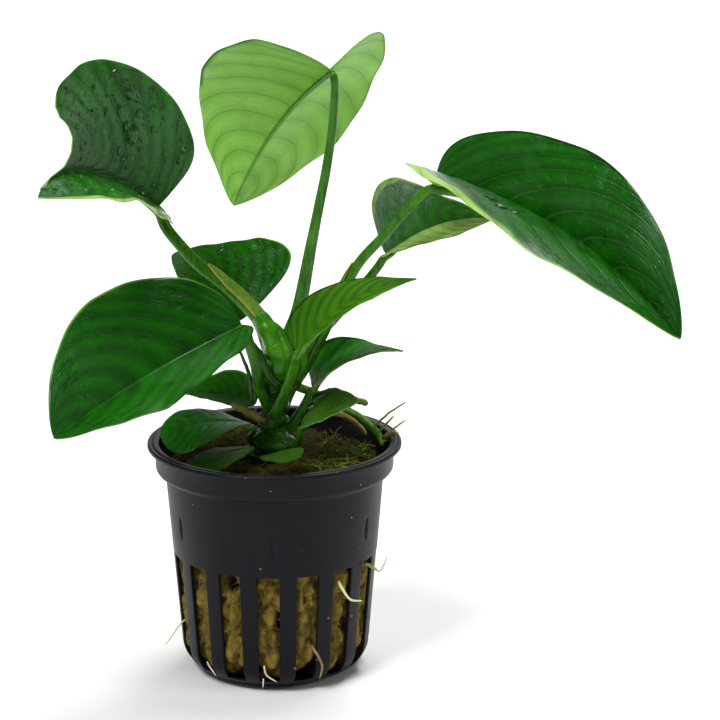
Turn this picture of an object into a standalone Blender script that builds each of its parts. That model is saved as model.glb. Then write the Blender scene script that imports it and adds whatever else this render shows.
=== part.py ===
"""Potted anubias: slotted net pot, mineral wool, ringed rhizome, leaf blades, stalks and roots.

Lengths below are millimetres and angles are degrees; the mesh is made in metres, +Z up.
The origin is the centre of the pot's underside. The long leaf C points to +X.
"""
import math

import bmesh
import bpy
import numpy as np
from mathutils import Vector

MM = 0.001
MERGE = 0.001

# Pot
POT_HEIGHT = 51.0
LIP_RADIUS = 27.5
LIP_THICKNESS = 1.0
COLLAR_RADIUS = 25.8
COLLAR_HEIGHT = 6.4
BODY_TOP_RADIUS = 23.7
BODY_LOW_RADIUS = 20.6
BASE_CORNER_RADIUS = 7.0
WALL = 0.8
FLOOR = 1.0
POT_SIDES = 48
CORNER_STEPS = 4
SLOT_COUNT = 16
SLOT_ANGLE = 12.8
SLOT_PHASE = -2.5
SLOT_BOTTOM = 2.4
SLOT_TOP = 26.9
CUT_FROM_RADIUS = 13.0
CUT_TO_RADIUS = 30.0
NECK_DROP = 0.6
NECK_STEP = 0.5
COLLAR_ROUND = 0.4
COLLAR_ROUND_RISE = 1.2
COLLAR_INNER_RISE = 1.4
LIP_EDGE_DROP = 0.2
LIP_EDGE_STEP = 0.3
MOUTH_STEP = 0.5
MOUTH_DROP = 0.6

# Lens-shaped grooves in the wall above the slots
LUG_COUNT = 6
LUG_PHASE = 60.0
LUG_TOP = 37.5
LUG_BOTTOM = 31.5
LUG_DEPTH = 0.3
LUG_ANGLE = 2.0
LUG_WALL_PLACE = 0.65

# Wool filling
WOOL_TOP = 47.6
WOOL_GAP = 0.35
WOOL_SIDES = 24
WOOL_EDGE_DROP = 1.4
WOOL_EDGE_STEP = 1.2
WOOL_EDGE_HEIGHT = 0.5
WOOL_CROWN = ((15.0, 0.2), (8.0, 0.0), (0.0, 0.0))

# Leaf blades
BLADE_THICKNESS = 0.7
LARGE_GRID = (11, 6)
SMALL_GRID = (7, 4)
LOBE_POWER = 6
VEIN_BEND = 1.5
END_CROWDING = 0.5
BLADE_MERGE = 0.02
MIDRIB_STEPS = 60
FLATTEST_CURL = 0.01

# Tubes
STALK_SIDES = 7
ROOT_SIDES = 5
RHIZOME_SIDES = 12
FIRST_SIDE = (0.3, 0.9, 0.2)

# Leaf pose: foot of the blade (x, y, z), length, half-widths left and right of the midrib,
# heading and its swing, rise and its droop, roll and its twist, fold of each half, curl,
# and the outline terms: widest place, fullness, lobe. Right is seen from foot to tip.
LEAVES = {
    "A": dict(foot=(-24.7, 5.8, 101.2), length=52, left=18, right=24, heading=220, swing=46,
              rise=39, droop=52, roll=59, twist=-10, fold_left=42, fold_right=49, curl=-12,
              widest=0.93, fullness=0.48, lobe_left=0.05, lobe_right=0.27,
              pinch=36, pinch_at=0.96, pinch_width=0.08),
    "B": dict(foot=(12.6, 3.4, 131.3), length=55, left=21, right=25, heading=122, swing=4,
              rise=-28, droop=28, roll=-3, twist=-41, fold_left=35, fold_right=39, curl=-18,
              widest=0.75, fullness=0.62, lobe_left=0.25, lobe_right=0.25),
    "C": dict(foot=(34.1, -4.3, 108.2), length=74.5, left=17, right=24, heading=-42, swing=-13,
              rise=2, droop=35, roll=-31, twist=-17, fold_left=40, fold_right=70, curl=-32,
              widest=0.84, fullness=0.65, lobe_left=0.2, lobe_right=0.2),
    "D": dict(foot=(24.2, 14.0, 88.6), length=32, left=13.5, right=5.5, heading=-36, swing=-1,
              rise=43, droop=40, roll=-55, twist=-80, fold_left=16, fold_right=48, curl=11,
              widest=0.65, fullness=0.85, lobe_left=0.08, lobe_right=0.0),
    "E": dict(foot=(5.2, -10.0, 73.4), length=31.5, left=8, right=10, heading=-11, swing=4,
              rise=59, droop=51, roll=-25, twist=1, fold_left=4, fold_right=4, curl=37,
              widest=0.48, fullness=1.1, lobe_left=0.01, lobe_right=0.01),
    "F": dict(foot=(8.1, 2.0, 62.1), length=23, left=11.5, right=7, heading=-6, swing=7,
              rise=60, droop=74, roll=-17, twist=10, fold_left=-11, fold_right=1, curl=33,
              widest=0.52, fullness=1.33, lobe_left=0.0, lobe_right=0.0),
    "G": dict(foot=(-6.5, -6.1, 78.2), length=50, left=16, right=20, heading=214, swing=6,
              rise=-15, droop=9, roll=19, twist=10, fold_left=31, fold_right=41, curl=-14,
              widest=0.94, fullness=0.68, lobe_left=0.2, lobe_right=0.2),
    "H": dict(foot=(-5.0, 9.8, 77.0), length=22.5, left=10.5, right=18, heading=152, swing=3,
              rise=28, droop=-2, roll=30, twist=-20, fold_left=11, fold_right=8, curl=9,
              widest=0.61, fullness=0.66, lobe_left=0.0, lobe_right=0.09),
    "I": dict(foot=(-3.9, 4.0, 58.4), length=16.5, left=5.5, right=7.5, heading=176, swing=-1,
              rise=19, droop=27, roll=21, twist=-5, fold_left=9, fold_right=9, curl=7,
              widest=0.72, fullness=1.05, lobe_left=0.0, lobe_right=0.0),
    "J": dict(foot=(-4.9, -6.2, 56.4), length=20, left=10, right=8, heading=178, swing=-3,
              rise=10, droop=38, roll=-12, twist=54, fold_left=5, fold_right=-5, curl=-7,
              widest=0.87, fullness=0.45, lobe_left=0.0, lobe_right=0.0),
    "K": dict(foot=(-3.9, -13.1, 53.2), length=15, left=7.5, right=5, heading=175, swing=14,
              rise=-12, droop=1, roll=-4, twist=25, fold_left=-1, fold_right=-8, curl=0,
              widest=0.83, fullness=0.9, lobe_left=0.0, lobe_right=0.0),
    "L": dict(foot=(6.5, -17.0, 53.6), length=9.5, left=4.5, right=3, heading=173, swing=-4,
              rise=-11, droop=1, roll=10, twist=-13, fold_left=-4, fold_right=-4, curl=0,
              widest=0.74, fullness=0.72, lobe_left=0.0, lobe_right=0.0),
    "M": dict(foot=(5.9, -8.0, 56.4), length=14.5, left=7, right=5, heading=-14, swing=-3,
              rise=40, droop=26, roll=-12, twist=-11, fold_left=4, fold_right=8, curl=1,
              widest=0.82, fullness=0.81, lobe_left=0.0, lobe_right=0.0),
    "N": dict(foot=(7.4, 5.0, 57.9), length=9.5, left=2.5, right=3, heading=-18, swing=-4,
              rise=42, droop=47, roll=-10, twist=0, fold_left=5, fold_right=5, curl=3,
              widest=0.8, fullness=0.76, lobe_left=0.0, lobe_right=0.0),
}
BRACT = dict(foot=(-3.5, -4.6, 57.2), length=6.5, left=1.7, right=1.7, heading=196, swing=5,
             rise=38, droop=40, roll=10, twist=0, fold_left=10, fold_right=10, curl=5,
             widest=0.9, fullness=0.6, lobe_left=0.0, lobe_right=0.0)
LARGE_LEAVES = ("A", "B", "C", "D", "G", "H")

# Tube paths: points (x, y, z) with the radius at the first, middle and last point
STALKS = {
    "A": ([(-0.8, -1.0, 75.2), (-3.4, 0.0, 78.6), (-9.4, 2.0, 83.9), (-15.8, 4.0, 88.7),
           (-20.1, 5.0, 93.1), (-23.1, 5.8, 96.8), (-24.4, 6.2, 99.9)], (1.9, 1.3, 1.2)),
    "B": ([(3.6, 0.0, 75.0), (5.6, 0.8, 80.8), (8.3, 1.6, 94.9), (10.0, 2.2, 103.4),
           (11.3, 2.5, 109.9), (12.6, 2.8, 118.5), (13.2, 2.9, 127.0), (12.9, 3.0, 130.0)],
          (1.8, 1.3, 1.0)),
    "C": ([(3.3, 2.5, 61.6), (6.3, 3.6, 66.0), (10.3, 4.2, 73.4), (15.3, 4.2, 84.0),
           (18.5, 3.4, 89.8), (23.6, 1.2, 96.0), (29.1, -2.0, 103.0), (33.0, -3.9, 107.2)],
          (1.7, 1.5, 1.3)),
    "D": ([(0.8, 4.8, 64.0), (4.2, 8.4, 67.5), (10.9, 11.0, 73.0), (17.0, 12.2, 79.8),
           (22.0, 12.2, 86.0), (23.6, 12.0, 88.4)], (1.2, 1.0, 0.9)),
    "E": ([(1.3, -5.0, 60.4), (3.1, -6.6, 65.0), (4.5, -8.4, 69.6), (5.0, -9.8, 72.6)],
          (1.3, 1.2, 1.0)),
    "F": ([(4.4, 1.2, 55.4), (6.3, 1.8, 58.3), (7.8, 1.8, 61.3)], (1.0, 0.9, 0.8)),
    "G": ([(-3.0, -4.4, 64.4), (-3.8, -5.6, 69.5), (-5.0, -6.2, 74.0), (-6.0, -6.1, 77.2)],
          (1.3, 1.2, 1.1)),
    "H": ([(-1.6, 5.0, 69.5), (-3.0, 7.0, 73.4), (-4.5, 9.0, 76.1)], (1.1, 1.0, 0.9)),
    "J": ([(-5.2, -3.0, 52.2), (-4.5, -4.0, 53.6), (-4.1, -4.9, 55.0)], (0.9, 0.8, 0.6)),
    "M": ([(4.6, -5.2, 50.6), (5.6, -6.8, 53.2), (5.8, -7.8, 55.8)], (0.8, 0.7, 0.6)),
    "N": ([(4.4, 3.0, 53.6), (5.6, 4.2, 55.6), (7.1, 5.2, 57.3)], (0.8, 0.7, 0.6)),
}
WITHERED = ([(-4.6, -1.2, 59.8), (-5.2, -1.4, 65.4), (-6.3, -2.4, 69.3), (-7.5, -2.6, 72.2)],
            (0.5, 0.45, 0.3))
ROOTS = {
    "aerial_root": ([(4.4, 5.4, 59.7), (7.4, 8.0, 60.0), (11.1, 10.0, 57.5), (15.4, 10.6, 55.3),
                     (18.5, 10.2, 53.6), (20.9, 9.0, 52.4), (22.5, 7.2, 51.0),
                     (23.1, 5.6, 49.8), (23.2, 4.4, 48.8)], (1.2, 0.85, 0.75)),
    "inner_root": ([(11.6, 4.6, 56.0), (14.8, 6.6, 54.6), (17.0, 6.6, 53.2), (18.7, 5.8, 52.0),
                    (19.8, 5.0, 50.6)], (0.7, 0.65, 0.5)),
    "root_stub": ([(13.4, 9.9, 58.6), (16.7, 10.6, 57.2), (20.3, 10.9, 56.0)],
                  (0.7, 0.75, 0.7)),
    "rootlet_1": ([(21.4, 10.2, 53.6), (24.6, 9.0, 55.4), (26.6, 7.6, 56.7),
                   (28.5, 6.6, 57.8)], (0.28, 0.25, 0.18)),
    "rootlet_2": ([(23.4, 8.4, 52.4), (24.9, 8.0, 53.5), (26.2, 7.6, 54.4)],
                  (0.28, 0.25, 0.2)),
    "rootlet_3": ([(24.4, 6.8, 51.9), (26.4, 6.0, 53.0), (28.7, 5.4, 54.1)],
                  (0.28, 0.25, 0.18)),
    "rootlet_4": ([(24.3, 4.6, 50.6), (25.4, 4.4, 51.8), (27.0, 4.2, 52.5)],
                  (0.26, 0.24, 0.18)),
    "rim_root": ([(24.0, 2.6, 50.4), (25.2, 2.4, 51.9), (26.9, 2.2, 51.9)],
                 (0.4, 0.4, 0.3)),
    "slot_root_left": ([(-19.5, -7.2, 12.4), (-20.9, -8.0, 11.2), (-22.3, -8.8, 9.2),
                        (-23.9, -9.0, 7.1)], (0.3, 0.28, 0.2)),
    "slot_root_right": ([(13.9, -16.8, 24.4), (14.7, -18.0, 23.4), (16.4, -19.2, 21.3),
                         (19.0, -18.4, 20.6)], (0.45, 0.42, 0.3)),
    "slot_shoot": ([(19.6, -9.6, 26.0), (20.8, -10.2, 25.7), (22.2, -10.9, 24.9)],
                   (0.5, 0.45, 0.35)),
    "slot_fork": ([(22.8, -11.3, 24.6), (23.6, -11.2, 26.2), (24.4, -10.9, 28.2)],
                  (0.28, 0.25, 0.2)),
    "base_root_1": ([(-14.4, -14.2, 5.2), (-14.0, -15.2, 4.6), (-13.2, -15.7, 3.6),
                     (-12.5, -15.9, 2.6)], (0.3, 0.3, 0.25)),
    "base_root_2": ([(-2.0, -20.0, 6.5), (-1.5, -20.6, 4.6), (0.7, -20.5, 3.0)],
                    (0.3, 0.3, 0.25)),
    "base_root_3": ([(-2.2, -19.6, 3.4), (-2.3, -19.7, 1.4)], (0.28, 0.28, 0.2)),
    "base_root_4": ([(8.1, -19.0, 10.8), (9.6, -20.0, 8.6), (10.4, -19.4, 6.0),
                     (9.8, -18.2, 2.8)], (0.45, 0.45, 0.35)),
}

RHIZOME_PATH = [(-0.2, -2.0, 48.2), (-0.2, -2.0, 52.4), (0.2, -1.0, 56.6), (-0.6, 0.0, 61.0),
                (0.0, 0.0, 65.4), (0.4, 0.0, 69.4), (1.0, 0.0, 72.8)]
RHIZOME_RADII = [4.1, 3.6, 2.8, 2.9, 3.1, 3.3, 2.3]
RHIZOME_RINGS = 7
RHIZOME_RING_HEIGHT = 0.25
RHIZOME_STEPS = 3

# Colours
PLASTIC = (0.018, 0.017, 0.022)
WOOL = (0.20, 0.15, 0.05)
STEM = (0.06, 0.13, 0.02)
LEAF_DARK = (0.010, 0.085, 0.008)
LEAF_PALE = (0.11, 0.33, 0.04)
STALK = (0.04, 0.18, 0.02)
ROOT_GREEN = (0.09, 0.26, 0.03)
ROOT_PALE = (0.55, 0.55, 0.33)
ROOT_BROWN = (0.28, 0.19, 0.08)


def clear_scene():
    """Remove every object of the start-up scene."""
    for item in list(bpy.data.objects):
        bpy.data.objects.remove(item, do_unlink=True)


def make_material(name, colour, roughness):
    """Return a Principled material with the given base colour."""
    material = bpy.data.materials.new(name)
    material.use_nodes = True
    shader = material.node_tree.nodes["Principled BSDF"]
    shader.inputs["Base Color"].default_value = (*colour, 1.0)
    shader.inputs["Roughness"].default_value = roughness
    material.diffuse_color = (*colour, 1.0)
    return material


def add_object(name, bm, material, smooth=True):
    """Turn a bmesh in millimetres into a named scene object in metres."""
    bmesh.ops.recalc_face_normals(bm, faces=bm.faces)
    bmesh.ops.scale(bm, vec=(MM, MM, MM), verts=bm.verts)
    mesh = bpy.data.meshes.new(name)
    bm.to_mesh(mesh)
    bm.free()
    if smooth:
        mesh.shade_smooth()
    if material is not None:
        mesh.materials.append(material)
    item = bpy.data.objects.new(name, mesh)
    bpy.context.scene.collection.objects.link(item)
    return item


def polar(radius, angle, height):
    """Point at an angle in degrees measured from -Y towards +X."""
    turn = math.radians(angle)
    return Vector((radius * math.sin(turn), -radius * math.cos(turn), height))


def corner_arc(inset):
    """Profile points of the rounded lower corner, offset inwards by inset."""
    centre = BODY_LOW_RADIUS - BASE_CORNER_RADIUS
    radius = BASE_CORNER_RADIUS - inset
    points = []
    for step in range(CORNER_STEPS + 1):
        turn = math.radians(90.0 * step / CORNER_STEPS)
        points.append((centre + radius * math.sin(turn),
                       BASE_CORNER_RADIUS - radius * math.cos(turn)))
    return points


def spin_profile(points, sides):
    """Spin (radius, height) points round the Z axis into one closed skin."""
    bm = bmesh.new()
    ring = [bm.verts.new((radius, 0.0, height)) for radius, height in points]
    for first, second in zip(ring, ring[1:]):
        bm.edges.new((first, second))
    bmesh.ops.spin(bm, geom=bm.verts[:] + bm.edges[:], cent=(0, 0, 0), axis=(0, 0, 1),
                   angle=math.tau, steps=sides, use_merge=True)
    bmesh.ops.remove_doubles(bm, verts=bm.verts, dist=MERGE)
    return bm


def wedge_cutter(name, count, phase, angle, bottom, top, inner):
    """Ring of wedge blocks used to cut slots or grooves from the inner radius outwards."""
    bm = bmesh.new()
    for index in range(count):
        middle = phase + 360.0 * index / count
        corners = []
        for height in (bottom, top):
            for radius, side in ((inner, -1), (CUT_TO_RADIUS, -1),
                                 (CUT_TO_RADIUS, 1), (inner, 1)):
                corners.append(bm.verts.new(polar(radius, middle + side * angle / 2, height)))
        bmesh.ops.convex_hull(bm, input=corners)
    cutter = add_object(name, bm, None, smooth=False)
    cutter.hide_render = True
    cutter.display_type = "WIRE"
    return cutter


def cut_with(item, cutter):
    """Add an exact Boolean difference."""
    modifier = item.modifiers.new(cutter.name, "BOOLEAN")
    modifier.operation = "DIFFERENCE"
    modifier.solver = "EXACT"
    modifier.object = cutter


def build_pot():
    """Net pot with a collar, an overhanging lip and slots round its lower half."""
    collar_foot = POT_HEIGHT - COLLAR_HEIGHT
    lip_foot = POT_HEIGHT - LIP_THICKNESS
    mouth = COLLAR_RADIUS - WALL
    outside = [(0.0, 0.0)] + corner_arc(0.0)
    outside += [(BODY_TOP_RADIUS, collar_foot - NECK_DROP),
                (BODY_TOP_RADIUS + NECK_STEP, collar_foot),
                (COLLAR_RADIUS - COLLAR_ROUND, collar_foot + COLLAR_ROUND),
                (COLLAR_RADIUS, collar_foot + COLLAR_ROUND_RISE),
                (COLLAR_RADIUS, lip_foot),
                (LIP_RADIUS, lip_foot),
                (LIP_RADIUS, POT_HEIGHT - LIP_EDGE_DROP),
                (LIP_RADIUS - LIP_EDGE_STEP, POT_HEIGHT),
                (mouth + MOUTH_STEP, POT_HEIGHT),
                (mouth, POT_HEIGHT - MOUTH_DROP),
                (mouth, collar_foot + COLLAR_INNER_RISE),
                (BODY_TOP_RADIUS - WALL, collar_foot)]
    inside = corner_arc(WALL)
    inside[0] = (inside[0][0], FLOOR)
    profile = outside + inside[::-1] + [(0.0, FLOOR)]
    bm = spin_profile(profile, POT_SIDES)
    pot = add_object("pot", bm, make_material("pot_plastic", PLASTIC, 0.4))
    slots = wedge_cutter("slot_cutter", SLOT_COUNT, SLOT_PHASE, SLOT_ANGLE,
                         SLOT_BOTTOM, SLOT_TOP, CUT_FROM_RADIUS)
    cut_with(pot, slots)
    lug_radius = BODY_LOW_RADIUS + (BODY_TOP_RADIUS - BODY_LOW_RADIUS) * LUG_WALL_PLACE
    grooves = wedge_cutter("lug_cutter", LUG_COUNT, LUG_PHASE, LUG_ANGLE,
                           LUG_BOTTOM, LUG_TOP, lug_radius - LUG_DEPTH)
    cut_with(pot, grooves)


def build_wool():
    """Mineral wool plug that follows the inside of the pot with a small gap."""
    gap = WALL + WOOL_GAP
    low = corner_arc(gap)
    low[0] = (low[0][0], FLOOR + WOOL_GAP)
    collar_foot = POT_HEIGHT - COLLAR_HEIGHT
    edge = BODY_TOP_RADIUS - gap
    profile = [(0.0, FLOOR + WOOL_GAP)] + low
    profile += [(edge, collar_foot),
                (edge, WOOL_TOP - WOOL_EDGE_DROP),
                (edge - WOOL_EDGE_STEP, WOOL_TOP - WOOL_EDGE_HEIGHT)]
    profile += [(radius, WOOL_TOP - drop) for radius, drop in WOOL_CROWN]
    bm = spin_profile(profile, WOOL_SIDES)
    add_object("wool", bm, make_material("mineral_wool", WOOL, 0.95))


def smooth_path(points, steps):
    """Catmull-Rom points through the given places, with the fraction of the way along."""
    knots = [np.array(point, float) for point in points]
    knots = [2 * knots[0] - knots[1]] + knots + [2 * knots[-1] - knots[-2]]
    spans = len(points) - 1
    out = []
    for span in range(spans):
        first, second, third, fourth = knots[span:span + 4]
        for step in range(steps):
            part = step / steps
            place = 0.5 * (2 * second + (third - first) * part
                           + (2 * first - 5 * second + 4 * third - fourth) * part ** 2
                           + (3 * second - first - 3 * third + fourth) * part ** 3)
            out.append((place, (span + part) / spans))
    out.append((knots[-2], 1.0))
    return out


def make_tube(path, radii, sides):
    """Closed tube along path points; radii are matched to the points by number."""
    bm = bmesh.new()
    places = [np.array(point, float) for point in path]
    side = Vector(FIRST_SIDE)
    rings = []
    for index, place in enumerate(places):
        ahead = places[min(index + 1, len(places) - 1)]
        behind = places[max(index - 1, 0)]
        along = Vector(ahead - behind).normalized()
        side = (side - along * side.dot(along)).normalized()
        other = along.cross(side)
        ring = []
        for corner in range(sides):
            turn = math.tau * corner / sides
            offset = side * math.cos(turn) + other * math.sin(turn)
            ring.append(bm.verts.new(Vector(place) + offset * radii[index]))
        rings.append(ring)
    edges = [[bm.edges.new((ring[k], ring[(k + 1) % sides])) for k in range(sides)]
             for ring in rings]
    for first, second in zip(edges, edges[1:]):
        bmesh.ops.bridge_loops(bm, edges=first + second)
    bm.faces.new(rings[0])
    bm.faces.new(rings[-1])
    return bm


def build_tube(name, spec, material, sides, steps):
    """Tube whose radius runs from first through middle to last value."""
    points, (start, middle, end) = spec
    path = smooth_path(points, steps)
    radii = [float(np.interp(part, (0.0, 0.5, 1.0), (start, middle, end)))
             for _, part in path]
    bm = make_tube([place for place, _ in path], radii, sides)
    add_object(name, bm, material)


def build_rhizome(material):
    """Ringed upright rhizome that stands on the wool and carries the stalks."""
    path = smooth_path(RHIZOME_PATH, RHIZOME_STEPS)
    marks = np.linspace(0.0, 1.0, len(RHIZOME_RADII))
    radii = []
    for _, part in path:
        ring = RHIZOME_RING_HEIGHT * math.cos(math.tau * RHIZOME_RINGS * part)
        radii.append(float(np.interp(part, marks, RHIZOME_RADII)) + ring)
    bm = make_tube([place for place, _ in path], radii, RHIZOME_SIDES)
    add_object("rhizome", bm, material)


def midrib_table(leaf):
    """Points and directions of the midrib from foot to tip."""
    part = np.linspace(0.0, 1.0, MIDRIB_STEPS + 1)
    turn = np.radians(leaf["heading"] + leaf["swing"] * part)
    lift = np.radians(leaf["rise"] - leaf["droop"] * part)
    ahead = np.stack([np.cos(lift) * np.cos(turn), np.cos(lift) * np.sin(turn),
                      np.sin(lift)], -1)
    steps = (ahead[:-1] + ahead[1:]) / 2 * leaf["length"] / MIDRIB_STEPS
    foot = np.array(leaf["foot"], float)
    places = np.vstack([foot, foot + np.cumsum(steps, 0)])
    return part, places, ahead


def blade_point(leaf, table, along, across):
    """Place on the blade: along runs 0 to 1 foot to tip, across -1 to 1 left to right."""
    part, places, ahead = table
    right = across > 0
    half = leaf["right"] if right else leaf["left"]
    lobe = leaf["lobe_right"] if right else leaf["lobe_left"]
    margin = along - (1 + lobe) * along * (1 - along) ** LOBE_POWER
    spread = max(math.sin(math.pi * along ** leaf["widest"]), 0.0) ** leaf["fullness"]
    reach = spread * half * abs(across)
    station = along + (margin - along) * abs(across) ** VEIN_BEND
    held = min(max(station, 0.0), 1.0)
    middle = np.array([np.interp(held, part, places[:, axis]) for axis in range(3)])
    forward = np.array([np.interp(held, part, ahead[:, axis]) for axis in range(3)])
    forward /= np.linalg.norm(forward)
    middle = middle + min(station, 0.0) * leaf["length"] * ahead[0]
    turn = math.radians(leaf["heading"] + leaf["swing"] * held)
    level = np.array([math.sin(turn), -math.cos(turn), 0.0])
    above = np.cross(level, forward)
    roll = math.radians(leaf["roll"] + leaf["twist"] * held)
    side = level * math.cos(roll) + above * math.sin(roll)
    normal = above * math.cos(roll) - level * math.sin(roll)
    fold = leaf["fold_right"] if right else leaf["fold_left"]
    if right and "pinch" in leaf:
        fold += leaf["pinch"] * math.exp(-((along - leaf["pinch_at"])
                                           / leaf["pinch_width"]) ** 2)
    start = math.radians(fold)
    bend = math.radians(leaf["curl"] or FLATTEST_CURL) / half
    out = (math.sin(start + bend * reach) - math.sin(start)) / bend
    up = (math.cos(start) - math.cos(start + bend * reach)) / bend
    return middle + side * math.copysign(out, across) + normal * up


def build_blade(name, leaf, material, grid):
    """Leaf blade: a grid laid on the blade surface and given thickness."""
    rows, columns = grid
    table = midrib_table(leaf)
    bm = bmesh.new()
    bmesh.ops.create_grid(bm, x_segments=rows, y_segments=columns, size=1.0)
    for vert in bm.verts:
        along = (vert.co.x + 1.0) / 2.0
        eased = math.sin(math.pi * along / 2.0) ** 2
        along += END_CROWDING * (eased - along)
        vert.co = Vector(blade_point(leaf, table, along, vert.co.y))
    bmesh.ops.remove_doubles(bm, verts=bm.verts, dist=BLADE_MERGE)
    bmesh.ops.recalc_face_normals(bm, faces=bm.faces)
    bmesh.ops.solidify(bm, geom=bm.faces[:], thickness=BLADE_THICKNESS)
    add_object(name, bm, material)


def build_plant():
    """Rhizome, stalks, blades, bract and roots."""
    dark = make_material("leaf_dark", LEAF_DARK, 0.25)
    pale = make_material("leaf_pale", LEAF_PALE, 0.35)
    stalk = make_material("stalk_green", STALK, 0.35)
    stem = make_material("rhizome_green", STEM, 0.5)
    root_green = make_material("root_green", ROOT_GREEN, 0.45)
    root_pale = make_material("root_pale", ROOT_PALE, 0.6)
    root_brown = make_material("root_brown", ROOT_BROWN, 0.7)
    build_rhizome(stem)
    for letter, leaf in LEAVES.items():
        grid = LARGE_GRID if letter in LARGE_LEAVES else SMALL_GRID
        build_blade("blade_" + letter, leaf, pale if letter in "BE" else dark, grid)
    build_blade("bract", BRACT, root_brown, SMALL_GRID)
    for letter, spec in STALKS.items():
        steps = 1 if len(spec[0]) > 6 else 2
        build_tube("stalk_" + letter, spec, stalk, STALK_SIDES, steps)
    build_tube("withered_stalk", WITHERED, root_brown, ROOT_SIDES, 2)
    for name, spec in ROOTS.items():
        colour = root_pale
        if name in ("aerial_root", "inner_root", "root_stub", "slot_shoot"):
            colour = root_green
        if name in ("rim_root", "base_root_4"):
            colour = root_brown
        build_tube(name, spec, colour, ROOT_SIDES, 1)


def main():
    """Build the whole potted plant."""
    clear_scene()
    build_pot()
    build_wool()
    build_plant()


main()
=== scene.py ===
"""Looks of a potted anubias: net pot, mineral wool, rhizome, leaves, stalks and roots.

Sizes are millimetres and degrees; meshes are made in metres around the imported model, +Z up.
Pattern scales are counts per millimetre.
"""
import logging
import math
import random
from collections.abc import Callable
from dataclasses import dataclass, field, replace
from enum import Enum

import bmesh
import bpy
import numpy as np
from mathutils import Matrix, Vector, noise


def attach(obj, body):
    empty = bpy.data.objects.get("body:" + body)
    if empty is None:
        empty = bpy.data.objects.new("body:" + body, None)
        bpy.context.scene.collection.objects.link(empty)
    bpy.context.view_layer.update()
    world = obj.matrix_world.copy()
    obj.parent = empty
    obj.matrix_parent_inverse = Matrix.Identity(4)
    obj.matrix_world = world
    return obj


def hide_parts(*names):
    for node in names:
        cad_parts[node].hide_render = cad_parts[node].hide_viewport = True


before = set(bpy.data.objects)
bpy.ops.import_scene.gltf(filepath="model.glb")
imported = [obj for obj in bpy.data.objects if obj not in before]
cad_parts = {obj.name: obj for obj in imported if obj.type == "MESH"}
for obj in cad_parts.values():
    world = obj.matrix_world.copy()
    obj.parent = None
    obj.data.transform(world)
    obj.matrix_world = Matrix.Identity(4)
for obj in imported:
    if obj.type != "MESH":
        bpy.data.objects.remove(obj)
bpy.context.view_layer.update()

MM = 0.001
BODY = "root"
BLADE_UV = "blade"
NOISE_SEED = 5
LOG = logging.getLogger("anubias")
VEIN_ARCH = 1.55
TURF_DROP = 1.5

Point = tuple[float, float, float]
Pair = tuple[float, float]
Colour = tuple[float, float, float, float]
Socket = bpy.types.NodeSocket
SMOOTH_STEP = {"interpolation_type": "SMOOTHSTEP"}


class Slot(Enum):
    """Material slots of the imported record."""

    POT = "pot_plastic"
    WOOL = "mineral_wool"
    RHIZOME = "rhizome_skin"
    LEAF_DARK = "leaf_dark"
    LEAF_PALE = "leaf_pale"
    STALK = "stalk_green"
    ROOT_GREEN = "root_green"
    ROOT_PALE = "root_pale"
    ROOT_BROWN = "root_brown"


def linear(code: str) -> Colour:
    """Turn an sRGB hex colour into linear RGBA.

    Args:
        code: Six hex digits.

    Returns:
        Linear red, green, blue and an alpha of 1.
    """
    values = [int(code[i:i + 2], 16) / 255 for i in (0, 2, 4)]
    turned = [v / 12.92 if v <= 0.04045 else ((v + 0.055) / 1.055) ** 2.4 for v in values]
    return (*turned, 1.0)


def clamp(value: float) -> float:
    """Hold a number between 0 and 1."""
    return min(1.0, max(0.0, value))


class Skin:
    """A material in the making: its node tree and its Principled shader."""

    def __init__(self, name: str, **values: object) -> None:
        """Start the material.

        Args:
            name: Material name.
            **values: Socket values, with spaces in names written as underscores.
        """
        self.material = bpy.data.materials.new(name)
        self.material.use_nodes = True
        self.tree = self.material.node_tree
        self.shader = self.tree.nodes["Principled BSDF"]
        for key, value in values.items():
            self.shader.inputs[key.replace("_", " ")].default_value = value

    def add(self, kind: str, inputs: dict | None = None, **settings: object) -> Socket:
        """Add a shader node with its settings and links.

        Args:
            kind: Node type without its ShaderNode prefix.
            inputs: Values or output sockets by input name or number.
            **settings: Properties of the node.

        Returns:
            The node's first output.
        """
        node = self.tree.nodes.new("ShaderNode" + kind)
        for name, value in settings.items():
            setattr(node, name, value)
        for name, value in (inputs or {}).items():
            if isinstance(value, Socket):
                self.tree.links.new(value, node.inputs[name])
            else:
                node.inputs[name].default_value = value
        return node.outputs[0]

    def millimetres(self) -> Socket:
        """Object coordinates of a piece, scaled so that one unit is a millimetre."""
        place = self.add("TexCoord").node.outputs["Object"]
        return self.add("Mapping", {"Vector": place, "Scale": (1 / MM,) * 3})

    def dress(self, colour: Socket, height: Socket, depth: float, strength: float,
              rough: Socket | None = None) -> bpy.types.Material:
        """Link a colour, a fine relief and a varying roughness to the shader.

        Args:
            colour: Base colour.
            height: Pattern of the relief.
            depth: Millimetres that one unit of the pattern stands for.
            strength: Share of the relief that shows.
            rough: Roughness, where it isn't even.

        Returns:
            The finished material.
        """
        relief = self.add("Bump", {"Height": height, "Distance": depth * MM,
                                   "Strength": strength})
        self.tree.links.new(colour, self.shader.inputs["Base Color"])
        self.tree.links.new(relief, self.shader.inputs["Normal"])
        if rough is not None:
            self.tree.links.new(rough, self.shader.inputs["Roughness"])
        return self.material


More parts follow.
